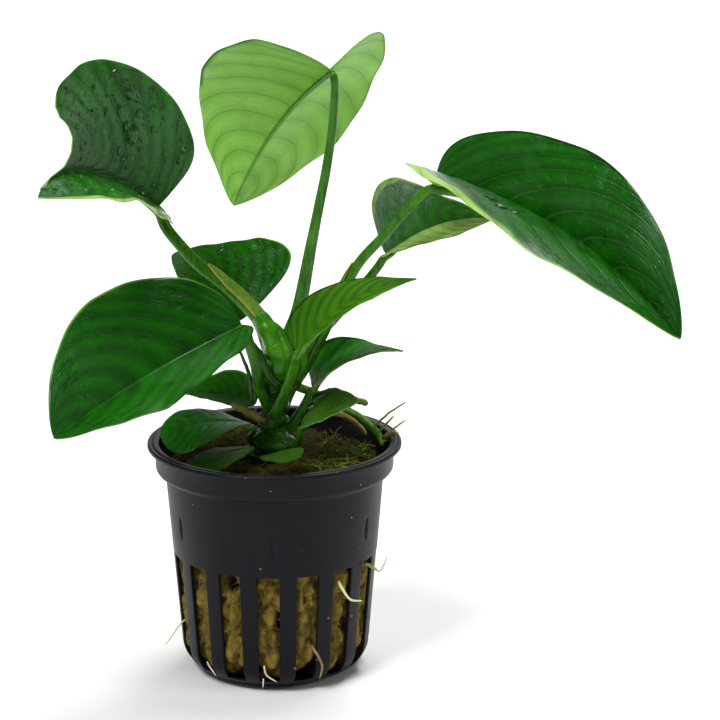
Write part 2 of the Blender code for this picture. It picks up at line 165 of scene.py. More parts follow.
@dataclass(frozen=True)
class LeafFinish:
    """Waxy leaf skin: a glossy upper face with arched veins and a paler, duller underside.

    The wax gives a broad soft shine, and standing water sharpens it in patches.
    """

    name: str
    upper: str
    upper_light: str
    under: str
    under_vein: str
    vein: str
    veins: float = 9.0
    sweep: float = 0.3
    roughness: float = 0.34
    wet: float = 0.35
    net: float = 0.16
    vein_strength: float = 0.16
    vein_depth: float = 0.16
    edge: str = "6F9A3A"
    rim: float = 0.3
    ior: float = 1.3
    coat: float = 0.1
    beads: float = 0.0

    def material(self, length: float, width: float) -> bpy.types.Material:
        """Build the skin for a blade of the given size.

        Args:
            length: Blade length.
            width: Blade width.

        Returns:
            The material.
        """
        skin = Skin(self.name, IOR=self.ior, Coat_Weight=self.coat, Coat_Roughness=0.12)
        uv = skin.add("UVMap", uv_map=BLADE_UV)
        along, share, _ = skin.add("SeparateXYZ", {0: uv}).node.outputs
        signed = skin.add("Math", {0: share, 1: 2.0, 2: -1.0}, operation="MULTIPLY_ADD")
        across = skin.add("Math", {0: signed}, operation="ABSOLUTE")
        flat = skin.add("VectorMath", {0: uv, 1: (length, width, 1.0)},
                        operation="MULTIPLY")
        drift = skin.add("TexNoise", {"Vector": flat, "Scale": 0.1, "Detail": 1.0})
        arch = skin.add("Math", {0: across, 1: VEIN_ARCH}, operation="POWER")
        back = skin.add("Math", {0: arch, 1: -self.sweep, 2: along},
                        operation="MULTIPLY_ADD")
        bent = skin.add("Math", {0: drift, 1: 0.02, 2: back}, operation="MULTIPLY_ADD")
        phase = skin.add("Math", {0: bent, 1: self.veins}, operation="MULTIPLY")
        gap = skin.add("Math", {0: phase, 1: 0.5}, operation="PINGPONG")
        lane = skin.add("Math", {0: share, 1: width / 1.4}, operation="MULTIPLY")
        veins = self.side_veins(skin, phase, gap, lane)
        midrib = skin.add("MapRange", {0: across, 1: 0.006, 2: 0.028, 3: 1.0, 4: 0.0},
                          **SMOOTH_STEP)
        every = skin.add("Math", {0: veins, 1: midrib}, operation="MAXIMUM")
        face = skin.add("Attribute", attribute_name="upper").node.outputs["Fac"]
        both = self.colour(skin, flat, gap, veins, every, face)
        rim = skin.add("MapRange", {0: across, 1: 0.975, 2: 0.995, 3: 0.0, 4: self.rim})
        edged = skin.add("MixRGB", {0: rim, 1: both, 2: linear(self.edge)})
        return skin.dress(edged, self.relief(skin, flat, every), 1.0, 0.8,
                          self.gloss(skin, flat, face))

    def side_veins(self, skin: Skin, phase: Socket, gap: Socket, lane: Socket) -> Socket:
        """Draw the side veins, the finer ones between them and the net of cells.

        Args:
            skin: Material in the making.
            phase: Count of side veins from the foot.
            gap: Distance to the nearest side vein, as a share of their spacing.
            lane: Count of cells across the blade, each about 1.4 mm wide.

        Returns:
            Strength of the veins.
        """
        main = skin.add("MapRange", {0: gap, 1: 0.0, 2: 0.06, 3: 1.0, 4: 0.0},
                        **SMOOTH_STEP)
        quarter = skin.add("Math", {0: phase, 1: 4.0}, operation="MULTIPLY")
        fine_gap = skin.add("Math", {0: quarter, 1: 0.5}, operation="PINGPONG")
        fine = skin.add("MapRange", {0: fine_gap, 1: 0.0, 2: 0.16, 3: 1.0, 4: 0.0},
                        **SMOOTH_STEP)
        row = skin.add("Math", {0: phase, 1: 3.2}, operation="MULTIPLY")
        cells = skin.add("CombineXYZ", {0: row, 1: lane})
        web = skin.add("TexVoronoi", {"Vector": cells, "Scale": 1.0},
                       feature="DISTANCE_TO_EDGE")
        net = skin.add("MapRange", {0: web, 1: 0.0, 2: 0.09, 3: 1.0, 4: 0.0}, **SMOOTH_STEP)
        faint = skin.add("Math", {0: net, 1: self.net}, operation="MULTIPLY")
        small = skin.add("Math", {0: fine, 1: 0.16, 2: faint}, operation="MULTIPLY_ADD",
                         use_clamp=True)
        return skin.add("Math", {0: main, 1: small}, operation="MAXIMUM")

    def colour(self, skin: Skin, flat: Socket, gap: Socket, veins: Socket, every: Socket,
               face: Socket) -> Socket:
        """Mix the greens of both faces from clouds, mottle, veins and painted quilting shade.

        Args:
            skin: Material in the making.
            flat: Place on the blade laid flat.
            gap: Distance to the nearest side vein.
            veins: Strength of the side veins.
            every: Strength of the side veins and the midrib.
            face: 1 on the upper face and 0 on the underside.

        Returns:
            The colour.
        """
        cloud = skin.add("TexNoise", {"Vector": flat, "Scale": 0.09, "Detail": 4.0,
                                      "Roughness": 0.55})
        mottle = skin.add("TexNoise", {"Vector": flat, "Scale": 0.9, "Detail": 5.0,
                                       "Roughness": 0.7})
        # Painted shade of the quilting: lighter skin midway between side veins, darker along them.
        swell = skin.add("MapRange", {0: gap, 1: 0.05, 2: 0.45, 3: 0.0, 4: 0.5},
                         **SMOOTH_STEP)
        broad = skin.add("Math", {0: cloud, 1: 1.7, 2: -0.55}, operation="MULTIPLY_ADD")
        tone = skin.add("Math", {0: broad, 1: swell}, operation="ADD", use_clamp=True)
        lower = skin.add("Math", {0: tone, 1: -0.25}, operation="ADD")
        speckled = skin.add("Math", {0: mottle, 1: 0.5, 2: lower},
                            operation="MULTIPLY_ADD", use_clamp=True)
        top = skin.add("MixRGB", {0: speckled, 1: linear(self.upper),
                                  2: linear(self.upper_light)})
        top_vein = skin.add("Math", {0: veins, 1: self.vein_strength}, operation="MULTIPLY")
        top = skin.add("MixRGB", {0: top_vein, 1: top, 2: linear(self.vein)})
        pale = tuple(min(1.0, c * 1.35 + 0.03) for c in linear(self.under))
        low = skin.add("MixRGB", {0: speckled, 1: linear(self.under), 2: pale})
        low_vein = skin.add("Math", {0: every, 1: 0.38}, operation="MULTIPLY")
        low = skin.add("MixRGB", {0: low_vein, 1: low, 2: linear(self.under_vein)})
        return skin.add("MixRGB", {0: face, 1: low, 2: top})

    def gloss(self, skin: Skin, flat: Socket, face: Socket) -> Socket:
        """Roughness: sharper where water stands on the wax, dull on the underside."""
        film = skin.add("TexNoise", {"Vector": flat, "Scale": 0.12, "Detail": 6.0,
                                     "Roughness": 0.6, "Distortion": 0.6})
        shore = 0.62 - 0.3 * self.wet
        damp = skin.add("MapRange", {0: film, 1: shore, 2: shore + 0.06, 3: 0.0, 4: 1.0},
                        **SMOOTH_STEP)
        shine = skin.add("MapRange", {0: damp, 3: self.roughness, 4: self.roughness * 0.5})
        dull = skin.add("MapRange", {0: face, 3: 0.5, 4: 0.0})
        return skin.add("Math", {0: shine, 1: dull}, operation="MAXIMUM")

    def relief(self, skin: Skin, flat: Socket, every: Socket) -> Socket:
        """Height of the skin: sunken veins, fine grain, wrinkles and water beads."""
        grain = skin.add("TexNoise", {"Vector": flat, "Scale": 2.2, "Detail": 4.0})
        wrinkle = skin.add("TexNoise", {"Vector": flat, "Scale": 0.45, "Detail": 5.0,
                                        "Roughness": 0.65, "Distortion": 0.8})
        if self.beads:
            wrinkle = self.add_beads(skin, flat, wrinkle)
        soft = skin.add("Math", {0: wrinkle, 1: 0.12 + 0.5 * self.wet},
                        operation="MULTIPLY")
        rough = skin.add("Math", {0: grain, 1: 0.05, 2: soft}, operation="MULTIPLY_ADD")
        return skin.add("Math", {0: every, 1: -self.vein_depth, 2: rough},
                        operation="MULTIPLY_ADD")

    def add_beads(self, skin: Skin, flat: Socket, base: Socket) -> Socket:
        """Raise fine water beads of two sizes on a height."""
        for scale, fewest in ((0.75, 0.55), (1.6, 0.45)):
            cell = skin.add("TexVoronoi", {"Vector": flat, "Scale": scale})
            pick = skin.add("SeparateColor", {0: cell.node.outputs["Color"]})
            size = skin.add("MapRange", {0: pick, 1: fewest, 2: 1.0, 3: 0.02, 4: 0.42})
            part = skin.add("Math", {0: cell, 1: size}, operation="DIVIDE")
            dome = skin.add("MapRange", {0: part, 1: 0.55, 2: 1.0, 3: self.beads / scale,
                                         4: 0.0}, **SMOOTH_STEP)
            base = skin.add("Math", {0: base, 1: dome}, operation="ADD")
        return base


@dataclass(frozen=True)
class StalkFinish:
    """Smooth waxy stalk: long faint stripes and a soft wet shine."""

    name: str = "waxy_stalk_skin"
    dark: str = "184A02"
    light: str = "4A8E10"
    rib: str = "6F9C3C"
    scar: str = "6B4A1E"
    scars: float = 0.25
    roughness: float = 0.32
    stripe: float = 1.6

    def material(self) -> bpy.types.Material:
        """Build the stalk skin."""
        skin = Skin(self.name, IOR=1.27, Coat_Weight=0.1, Coat_Roughness=0.1)
        place = skin.millimetres()
        drawn = skin.add("Mapping", {"Vector": place, "Scale": (1.0, 1.0, 0.12)})
        stripes = skin.add("TexNoise", {"Vector": drawn, "Scale": self.stripe,
                                        "Detail": 4.0, "Roughness": 0.6})
        patches = skin.add("TexNoise", {"Vector": place, "Scale": 0.13, "Detail": 3.0})
        shade = skin.add("Math", {0: patches, 1: 1.2, 2: -0.95}, operation="MULTIPLY_ADD")
        tone = skin.add("Math", {0: stripes, 1: 1.5, 2: shade}, operation="MULTIPLY_ADD",
                        use_clamp=True)
        green = skin.add("MixRGB", {0: tone, 1: linear(self.dark), 2: linear(self.light)})
        fleck = skin.add("TexNoise", {"Vector": place, "Scale": 0.55, "Detail": 6.0,
                                      "Roughness": 0.7})
        marks = skin.add("MapRange", {0: fleck, 1: 0.66, 2: 0.72, 3: 0.0, 4: self.scars},
                         **SMOOTH_STEP)
        brown = skin.add("Attribute", attribute_name="brown").node.outputs["Fac"]
        worn = skin.add("Math", {0: marks, 1: brown}, operation="MAXIMUM")
        fade = skin.add("Attribute", attribute_name="fade").node.outputs["Fac"]
        faded = skin.add("MixRGB", {0: fade, 1: green, 2: linear(self.rib)})
        coloured = skin.add("MixRGB", {0: worn, 1: faded, 2: linear(self.scar)})
        rough = skin.add("MapRange", {0: patches, 1: 0.3, 2: 0.7, 3: self.roughness * 0.6,
                                      4: self.roughness * 1.3})
        height = skin.add("Math", {0: stripes, 1: 0.5, 2: fleck}, operation="MULTIPLY_ADD")
        return skin.dress(coloured, height, 0.2, 0.6, rough)


@dataclass(frozen=True)
class FibreFinish:
    """Dull plant or mineral fibre: two tones mixed in small patches."""

    name: str
    dark: str
    light: str
    patch: float = 0.5
    roughness: float = 0.8

    def material(self) -> bpy.types.Material:
        """Build the fibre finish."""
        skin = Skin(self.name, Roughness=self.roughness, IOR=1.4)
        patches = skin.add("TexNoise", {"Vector": skin.millimetres(), "Scale": self.patch,
                                        "Detail": 5.0, "Roughness": 0.65})
        tone = skin.add("MapRange", {0: patches, 1: 0.32, 2: 0.68, 3: 0.0, 4: 1.0})
        mixed = skin.add("MixRGB", {0: tone, 1: linear(self.dark), 2: linear(self.light)})
        return skin.dress(mixed, patches, 0.25, 0.5)


@dataclass(frozen=True)
class WoolFinish:
    """Wet mineral wool: matted khaki fibre, mossy on top, with painted shade near black in its gaps
    and by the wall.
    """

    name: str = "wet_mineral_wool"
    # Near-black colour of the painted shade in gaps, low spots and by the wall.
    shade_colour: str = "1D1505"
    dark: str = "4E3A0A"
    light: str = "B89E40"
    moss: str = "3C4408"
    peat: str = "4A380C"
    moss_from: float = 40.0
    moss_full: float = 45.0

    def material(self) -> bpy.types.Material:
        """Build the wool finish."""
        skin = Skin(self.name, Roughness=0.92, IOR=1.35)
        place = skin.millimetres()
        clumps = skin.add("TexNoise", {"Vector": place, "Scale": 0.38, "Detail": 6.0,
                                       "Roughness": 0.65})
        combed = skin.add("Mapping", {"Vector": place, "Rotation": (0.4, 0.3, 0.7),
                                      "Scale": (1.0, 3.2, 0.8)})
        fibres = skin.add("TexNoise", {"Vector": combed, "Scale": 1.3, "Detail": 8.0,
                                       "Roughness": 0.75, "Distortion": 1.2})
        mixed = skin.add("Math", {0: clumps, 1: fibres}, operation="ADD")
        tone = skin.add("MapRange", {0: mixed, 1: 0.75, 2: 1.25, 3: 0.0, 4: 1.0})
        body = skin.add("MixRGB", {0: tone, 1: linear(self.dark), 2: linear(self.light)})
        turf = skin.add("MixRGB", {0: tone, 1: linear(self.moss), 2: linear(self.peat)})
        level = skin.add("SeparateXYZ", {0: place}).node.outputs[2]
        top = skin.add("MapRange", {0: level, 1: self.moss_from, 2: self.moss_full,
                                    3: 0.0, 4: 1.0}, **SMOOTH_STEP)
        covered = skin.add("MixRGB", {0: top, 1: body, 2: turf})
        # Painted shade: the wool turns near black where the plug marks gaps, low turf and the band
        # by the wall.
        painted_shade = skin.add("Attribute", attribute_name="painted_shade").node.outputs["Fac"]
        coloured = skin.add("MixRGB", {0: painted_shade, 1: covered, 2: linear(self.shade_colour)})
        return skin.dress(coloured, fibres, 0.9, 0.9)


@dataclass(frozen=True)
class PotFinish:
    """Injection-moulded black polypropylene: a satin skin with faint draw lines and dust."""

    name: str = "moulded_black_polypropylene"
    plastic: str = "0B0910"
    bloom: str = "15131B"
    dust: str = "A79A78"

    def material(self) -> bpy.types.Material:
        """Build the pot finish."""
        skin = Skin(self.name, IOR=1.45, Specular_IOR_Level=0.16)
        place = skin.millimetres()
        drawn = skin.add("Mapping", {"Vector": place, "Scale": (1.0, 1.0, 0.04)})
        lines = skin.add("TexNoise", {"Vector": drawn, "Scale": 1.1, "Detail": 4.0})
        haze = skin.add("TexNoise", {"Vector": place, "Scale": 0.07, "Detail": 4.0})
        shade = skin.add("Math", {0: haze, 1: 1.0, 2: -0.25}, operation="MULTIPLY_ADD")
        tone = skin.add("Math", {0: lines, 1: 0.5, 2: shade}, operation="MULTIPLY_ADD",
                        use_clamp=True)
        body = skin.add("MixRGB", {0: tone, 1: linear(self.plastic),
                                   2: linear(self.bloom)})
        cell = skin.add("TexVoronoi", {"Vector": place, "Scale": 0.42})
        pick = skin.add("SeparateColor", {0: cell.node.outputs["Color"]})
        size = skin.add("MapRange", {0: pick, 1: 0.6, 2: 1.0, 3: 0.0, 4: 0.13})
        near = skin.add("Math", {0: cell, 1: size}, operation="LESS_THAN")
        speck = skin.add("Math", {0: near, 1: 0.6}, operation="MULTIPLY")
        dusted = skin.add("MixRGB", {0: speck, 1: body, 2: linear(self.dust)})
        rough = skin.add("MapRange", {0: haze, 1: 0.3, 2: 0.7, 3: 0.34, 4: 0.46})
        grain = skin.add("TexNoise", {"Vector": place, "Scale": 3.0, "Detail": 3.0})
        height = skin.add("Math", {0: lines, 1: 0.6, 2: grain}, operation="MULTIPLY_ADD")
        return skin.dress(dusted, height, 0.06, 0.6, rough)


@dataclass(frozen=True)
class WaterFinish:
    """Water in standing drops: see-through, mirror-smooth and tinted green as painted shade on the
    leaf below.
    """

    name: str = "standing_water_drops"

    def material(self) -> bpy.types.Material:
        """Build the water."""
        # The green tint is painted shade: it darkens the leaf seen through each drop.
        return Skin(self.name, Base_Color=linear("C8EBC0"), Roughness=0.0, IOR=1.333,
                    Transmission_Weight=1.0).material


def store_value(mesh: bpy.types.Mesh, name: str, values: np.ndarray) -> None:
    """Keep one number for each vertex of a mesh as a named attribute."""
    layer = mesh.attributes.new(name, "FLOAT", "POINT")
    layer.data.foreach_set("value", np.asarray(values, np.float32))


def place_piece(bm: bmesh.types.BMesh, name: str, material: bpy.types.Material,
                nodes: tuple[str, ...] = (),
                values: dict[str, np.ndarray] | None = None) -> bpy.types.Object:
    """Turn a bmesh in millimetres into a finished piece that rides on the part.

    Args:
        bm: Shape in millimetres; it is freed.
        name: Piece name.
        material: Finish.
        nodes: CAD nodes the piece stands for.
        values: Numbers for each vertex, by attribute name.

    Returns:
        The piece.
    """
    bmesh.ops.recalc_face_normals(bm, faces=bm.faces)
    bmesh.ops.scale(bm, vec=(MM, MM, MM), verts=bm.verts)
    for face in bm.faces:
        face.smooth = True
    mesh = bpy.data.meshes.new(name)
    bm.to_mesh(mesh)
    bm.free()
    mesh.materials.append(material)
    for key, numbers in (values or {}).items():
        store_value(mesh, key, numbers)
    piece = bpy.data.objects.new(name, mesh)
    bpy.context.scene.collection.objects.link(piece)
    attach(piece, BODY)
    if nodes:
        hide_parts(*nodes)
    LOG.info("%s: %d faces", name, len(mesh.polygons))
    return piece


def smooth_path(points: list[Point], spacing: float) -> np.ndarray:
    """Catmull-Rom curve through points, sampled about every spacing millimetres."""
    knots = [np.array(p, float) for p in points]
    knots = [2 * knots[0] - knots[1], *knots, 2 * knots[-1] - knots[-2]]
    out = []
    for a, b, c, d in zip(knots, knots[1:], knots[2:], knots[3:]):
        count = max(2, math.ceil(float(np.linalg.norm(c - b)) / spacing))
        t = np.arange(count)[:, None] / count
        out.append(0.5 * (2 * b + (c - a) * t + (2 * a - 5 * b + 4 * c - d) * t ** 2
                          + (3 * b - a - 3 * c + d) * t ** 3))
    return np.vstack([*out, knots[-2][None]])


def along_line(shares: np.ndarray | float, marks: np.ndarray,
               line: np.ndarray) -> np.ndarray:
    """Places at shares of a line whose points stand at the given marks."""
    return np.stack([np.interp(shares, marks, line[:, k]) for k in range(3)], -1)


def sweep_tube(bm: bmesh.types.BMesh, path: np.ndarray, sides: int,
               radius: Callable[[float, float], float]) -> None:
    """Sweep a closed tube along a path and add it to a bmesh.

    Args:
        bm: Shape that takes the tube.
        path: Centreline points.
        sides: Corners of each ring.
        radius: Radius for a share of the length and an angle round the tube.
    """
    steps = np.linalg.norm(np.diff(path, axis=0), axis=1)
    share = np.minimum(np.concatenate([[0.0], np.cumsum(steps)]) / steps.sum(), 1.0)
    side = Vector((0.3, 0.9, 0.2))
    last = None
    for index, place in enumerate(path):
        ahead = path[min(index + 1, len(path) - 1)] - path[max(index - 1, 0)]
        along = Vector(ahead).normalized()
        side = (side - along * side.dot(along)).normalized()
        other = along.cross(side)
        turned = Matrix((side, other, along)).transposed().to_4x4()
        centre = Vector(place)
        turned.translation = centre
        ring = bmesh.ops.create_circle(bm, segments=sides, radius=1.0, matrix=turned)
        verts = ring["verts"]
        for vert in verts:
            offset = vert.co - centre
            turn = math.atan2(offset.dot(other), offset.dot(side))
            vert.co = centre + offset * radius(float(share[index]), turn)
        edges = list({edge for vert in verts for edge in vert.link_edges})
        if last is None:
            bmesh.ops.contextual_create(bm, geom=edges)
        else:
            bmesh.ops.bridge_loops(bm, edges=last + edges)
        last = edges
    bmesh.ops.contextual_create(bm, geom=last)


def spin_profile(points: list[Pair], steps: int) -> bmesh.types.BMesh:
    """Spin a half section all the way round +Z.

    Args:
        points: Radius and height of each corner, in order.
        steps: Columns of the full turn.

    Returns:
        The shape, with its doubles merged.
    """
    bm = bmesh.new()
    line = [bm.verts.new((radius, 0.0, height)) for radius, height in points]
    for first, second in zip(line, line[1:]):
        bm.edges.new((first, second))
    bmesh.ops.spin(bm, geom=bm.verts[:] + bm.edges[:], cent=(0, 0, 0), axis=(0, 0, 1),
                   angle=math.tau, steps=steps, use_merge=True)
    bmesh.ops.remove_doubles(bm, verts=bm.verts, dist=0.001)
    return bm


def turn_from_nearest(co: Vector, count: int, phase: float = 0.0) -> float:
    """Angle between a place and the nearest of some evenly spaced directions.

    Args:
        co: Place.
        count: Number of directions round +Z.
        phase: Turn of the first direction from -Y.

    Returns:
        Degrees, within half a spacing on either side.
    """
    pitch = 360.0 / count
    turn = math.degrees(math.atan2(co.x, -co.y)) - phase
    return (turn + pitch / 2) % pitch - pitch / 2


@dataclass
class NetPot:
    """Slotted net pot with a collar and an overhanging lip."""

    height: float = 51.0
    lip_radius: float = 27.5
    lip_thickness: float = 1.0
    collar_radius: float = 25.8
    collar_height: float = 6.4
    top_radius: float = 23.7
    low_radius: float = 20.6
    corner: float = 7.0
    wall: float = 0.8
    floor: float = 1.0
    slots: int = 16
    slot_angle: float = 12.8
    slot_phase: float = -2.5
    slot_bottom: float = 2.4
    slot_top: float = 26.9
    slot_columns: int = 14
    bar_columns: int = 10
    edge_round: float = 0.16
    lugs: int = 6
    lug_middle: float = 34.5
    lug_half: float = 2.9
    lug_width: float = 0.62
    lug_depth: float = 0.5
    finish: PotFinish = field(default_factory=PotFinish)

    def wall_radius(self, height: float, inset: float = 0.0) -> float:
        """Radius of the body at a height, inset millimetres inside its outer face."""
        if height >= self.corner:
            span = self.height - self.collar_height - self.corner
            share = (height - self.corner) / span
            return self.low_radius + (self.top_radius - self.low_radius) * share - inset
        radius = self.corner - inset
        drop = min(self.corner - height, radius)
        return self.low_radius - self.corner + math.sqrt(radius ** 2 - drop ** 2)

    def slot_rows(self) -> list[float]:
        """Heights of the wall's rows of faces from the slots' lower to their upper end."""
        rows = list(np.linspace(self.slot_bottom, self.corner, 7))
        return rows + list(np.linspace(self.corner, self.slot_top, 19))[1:]

    def lip_profile(self) -> list[Pair]:
        """Half section of the lip: up its outside and over a top with a thin groove."""
        under = self.height - self.lip_thickness
        mouth = self.collar_radius - self.wall
        edge, top = self.lip_radius, self.height
        return [(self.collar_radius, under - 0.25), (self.collar_radius + 0.2, under),
                (edge - 0.15, under), (edge, under + 0.15), (edge, top - 0.3),
                (edge - 0.1, top - 0.08), (edge - 0.3, top), (edge - 0.75, top),
                (edge - 0.85, top - 0.13), (edge - 0.95, top), (mouth + 0.35, top),
                (mouth + 0.12, top - 0.12), (mouth, top - 0.4)]

    def profile(self) -> list[Pair]:
        """Closed half section: up the outside, over the lip and down the inside."""
        foot = self.height - self.collar_height
        mouth = self.collar_radius - self.wall
        rows = self.slot_rows()
        heights = [0.0, 0.12, 0.5, 1.2, 1.8, *rows]
        heights += list(np.linspace(self.slot_top, foot - 0.6, 40)[1:])
        outside = [(0.0, 0.0), (8.0, 0.0), *((self.wall_radius(z), z) for z in heights)]
        shoulder = [(self.top_radius + 0.25, foot - 0.3), (self.top_radius + 0.6, foot),
                    (self.collar_radius - 0.45, foot + 0.3),
                    (self.collar_radius - 0.12, foot + 0.75),
                    (self.collar_radius, foot + 1.3)]
        inside = [(mouth, foot + 1.5), (self.top_radius - self.wall, foot)]
        inside += [(self.wall_radius(z, self.wall), z) for z in (38.0, 32.0, *rows[::-1])]
        base = self.low_radius - self.corner
        bottom = [(base + 2.0, self.floor + 0.4), (base, self.floor), (0.0, self.floor)]
        return outside + shoulder + self.lip_profile() + inside + bottom

    def warped(self, co: Vector) -> Vector:
        """Move a column of the even spin to its slot or bar place."""
        radius = math.hypot(co.x, co.y)
        if radius < 1e-6:
            return co
        pitch = 360.0 / self.slots
        columns = self.slot_columns + self.bar_columns
        turn = math.degrees(math.atan2(co.y, co.x)) % 360.0
        tooth, column = divmod(round(turn / pitch * columns), columns)
        bar = pitch - self.slot_angle
        if column <= self.slot_columns:
            part = self.slot_angle * column / self.slot_columns
        else:
            part = self.slot_angle + bar * (column - self.slot_columns) / self.bar_columns
        angle = math.radians(self.slot_phase - self.slot_angle / 2 + pitch * tooth + part)
        return Vector((radius * math.sin(angle), -radius * math.cos(angle), co.z))

    def in_slot(self, centre: Vector) -> bool:
        """Whether a wall face lies in a slot."""
        if not self.slot_bottom < centre.z < self.slot_top:
            return False
        if math.hypot(centre.x, centre.y) < self.low_radius - self.corner + 3.0:
            return False
        off = turn_from_nearest(centre, self.slots, self.slot_phase)
        return abs(off) < self.slot_angle / 2

    def lug_dent(self, co: Vector) -> float:
        """Depth of the lens-shaped grooves at a place on the outer wall."""
        rise = (co.z - self.lug_middle) / self.lug_half
        if abs(rise) >= 1:
            return 0.0
        off = abs(math.radians(turn_from_nearest(co, self.lugs)))
        share = off * math.hypot(co.x, co.y) / (self.lug_width * (1 - rise ** 2))
        return self.lug_depth * max(0.0, 1 - share ** 2)

    def press_lugs(self, bm: bmesh.types.BMesh) -> None:
        """Press the grooves into the outer face of the wall."""
        for vert in bm.verts:
            reach = math.hypot(vert.co.x, vert.co.y)
            if reach > self.wall_radius(vert.co.z) - self.wall / 2 and reach > 20:
                dent = self.lug_dent(vert.co)
                vert.co.x *= 1 - dent / reach
                vert.co.y *= 1 - dent / reach

    def open_slots(self, bm: bmesh.types.BMesh) -> None:
        """Cut the slots through both faces of the wall and round their edges."""
        gone = [face for face in bm.faces if self.in_slot(face.calc_center_median())]
        bmesh.ops.delete(bm, geom=gone, context="FACES")
        open_edges = [edge for edge in bm.edges if edge.is_boundary]
        pitch = 360.0 / self.slots
        groups: dict[int, list[bmesh.types.BMEdge]] = {}
        for edge in open_edges:
            centre = (edge.verts[0].co + edge.verts[1].co) / 2
            turn = math.degrees(math.atan2(centre.x, -centre.y)) - self.slot_phase
            groups.setdefault(round(turn / pitch) % self.slots, []).append(edge)
        for edges in groups.values():
            bmesh.ops.bridge_loops(bm, edges=edges)
        rims = [edge for edge in open_edges if edge.is_valid]
        bmesh.ops.bevel(bm, geom=rims, offset=self.edge_round, segments=2, profile=0.5,
                        affect="EDGES", material=-1)

    def build(self) -> None:
        """Spin the wall, press its grooves and open its slots."""
        bm = spin_profile(self.profile(), self.slots * (self.slot_columns + self.bar_columns))
        for vert in bm.verts:
            vert.co = self.warped(vert.co)
        self.press_lugs(bm)
        bmesh.ops.recalc_face_normals(bm, faces=bm.faces)
        self.open_slots(bm)
        place_piece(bm, "net_pot", self.finish.material(), ("pot",))


def turf_edge(reach: float) -> float:
    """How far a place on the wool's top lies into the band that falls off to the wall."""
    return max(0.0, (reach - 17.5) / 5.0)


@dataclass
class WoolPlug:
    """Torn mineral wool that fills the pot and bulges into its slots."""

    pot: NetPot
    top: float = 47.4
    gap: float = 0.12
    columns: int = 288
    bulge: float = 0.75
    deepest: float = 4.2
    mound: tuple[float, float, float] = (12.0, -2.0, 1.3)
    mound_spread: float = 60.0
    finish: WoolFinish = field(default_factory=WoolFinish)

    def build(self) -> None:
        """Spin the plug and pull its skin into lumps and hollows."""
        pot = self.pot
        inner = [(pot.wall_radius(z, pot.wall) - self.gap, z)
                 for z in np.linspace(2.0, 44.0, 92)]
        edge = pot.top_radius - pot.wall - self.gap
        crown = [(edge * share, self.top) for share in np.linspace(1.0, 0.0, 42) ** 0.8]
        line = [(0.0, pot.floor + 0.3), (12.0, pot.floor + 0.3), *inner,
                (edge, 45.4), (edge - 0.2, 46.6), *crown[1:]]
        bm = spin_profile(line, self.columns)
        # Painted shade for each vertex, read by the wool's colour.
        painted_shade = np.array([self.pull(vert.co) for vert in bm.verts])
        place_piece(bm, "wool_plug", self.finish.material(), ("wool",),
                    values={"painted_shade": painted_shade})

    def pull(self, co: Vector) -> float:
        """Move one vertex of the plug and give its painted shade, 0 to 1, from how far into a gap
        it lies.
        """
        reach = math.hypot(co.x, co.y)
        if co.z > self.top - 1.0:
            return self.pull_top(co, reach)
        # The floor and the core of the plug get full painted shade.
        if co.z < 1.6 or reach < 12.5:
            return 1.0
        return self.pull_side(co, reach)

    def pull_top(self, co: Vector, reach: float) -> float:
        """Roughen the turf, raise its mound and let it fall off towards the wall."""
        rough = noise.fractal(co * 0.28, 0.9, 2.1, 4)
        tuft = noise.fractal(co * 1.1 + Vector((9, 2, 5)), 0.8, 2.2, 3)
        edge = turf_edge(reach)
        x, y, height = self.mound
        far = (co.x - x) ** 2 + (co.y - y) ** 2
        mound = height * math.exp(-far / self.mound_spread)
        co.z += 0.9 * rough + 0.35 * tuft + mound - TURF_DROP * edge ** 2
        # The returned share is painted shade: darker on low turf and in the band by the wall.
        return min(1.0, max(0.0, 0.25 - 0.9 * rough) + 0.8 * edge ** 3)

    def pull_side(self, co: Vector, reach: float) -> float:
        """Tear hollows into the side and press its lumps out through the slots."""
        lump = noise.voronoi(Vector((co.x * 0.26, co.y * 0.26, co.z * 0.17)))[0]
        crease = min(1.0, (lump[1] - lump[0]) * 2.4)
        grain = noise.fractal(co * 0.75, 0.9, 2.0, 4)
        gapped = noise.noise(co * 0.16 + Vector((3.1, 8.2, 4.4)))
        off = abs(turn_from_nearest(co, self.pot.slots, self.pot.slot_phase))
        inside = clamp((self.pot.slot_angle / 2 - 1.2 - off) / 1.6)
        tall = clamp((self.pot.slot_top - 0.8 - co.z) / 1.5)
        low = clamp((co.z - 4.2) / 2.0)
        free = inside * tall
        depth = 1.6 * (1 - crease) + max(0.0, -grain) * 0.7
        depth += 3.2 * max(0.0, gapped - 0.22) * 3.0 + (1 - low) * 0.8
        push = free * self.bulge * (0.4 + 0.9 * crease + 0.5 * grain) * low
        push = min(push, free * 0.7) - min(depth, self.deepest)
        scale = 1 + push / reach
        co.x *= scale
        co.y *= scale
        # The returned share is painted shade, darker the further the skin is pulled into a gap.
        return clamp((depth - 1.3) / 2.2)


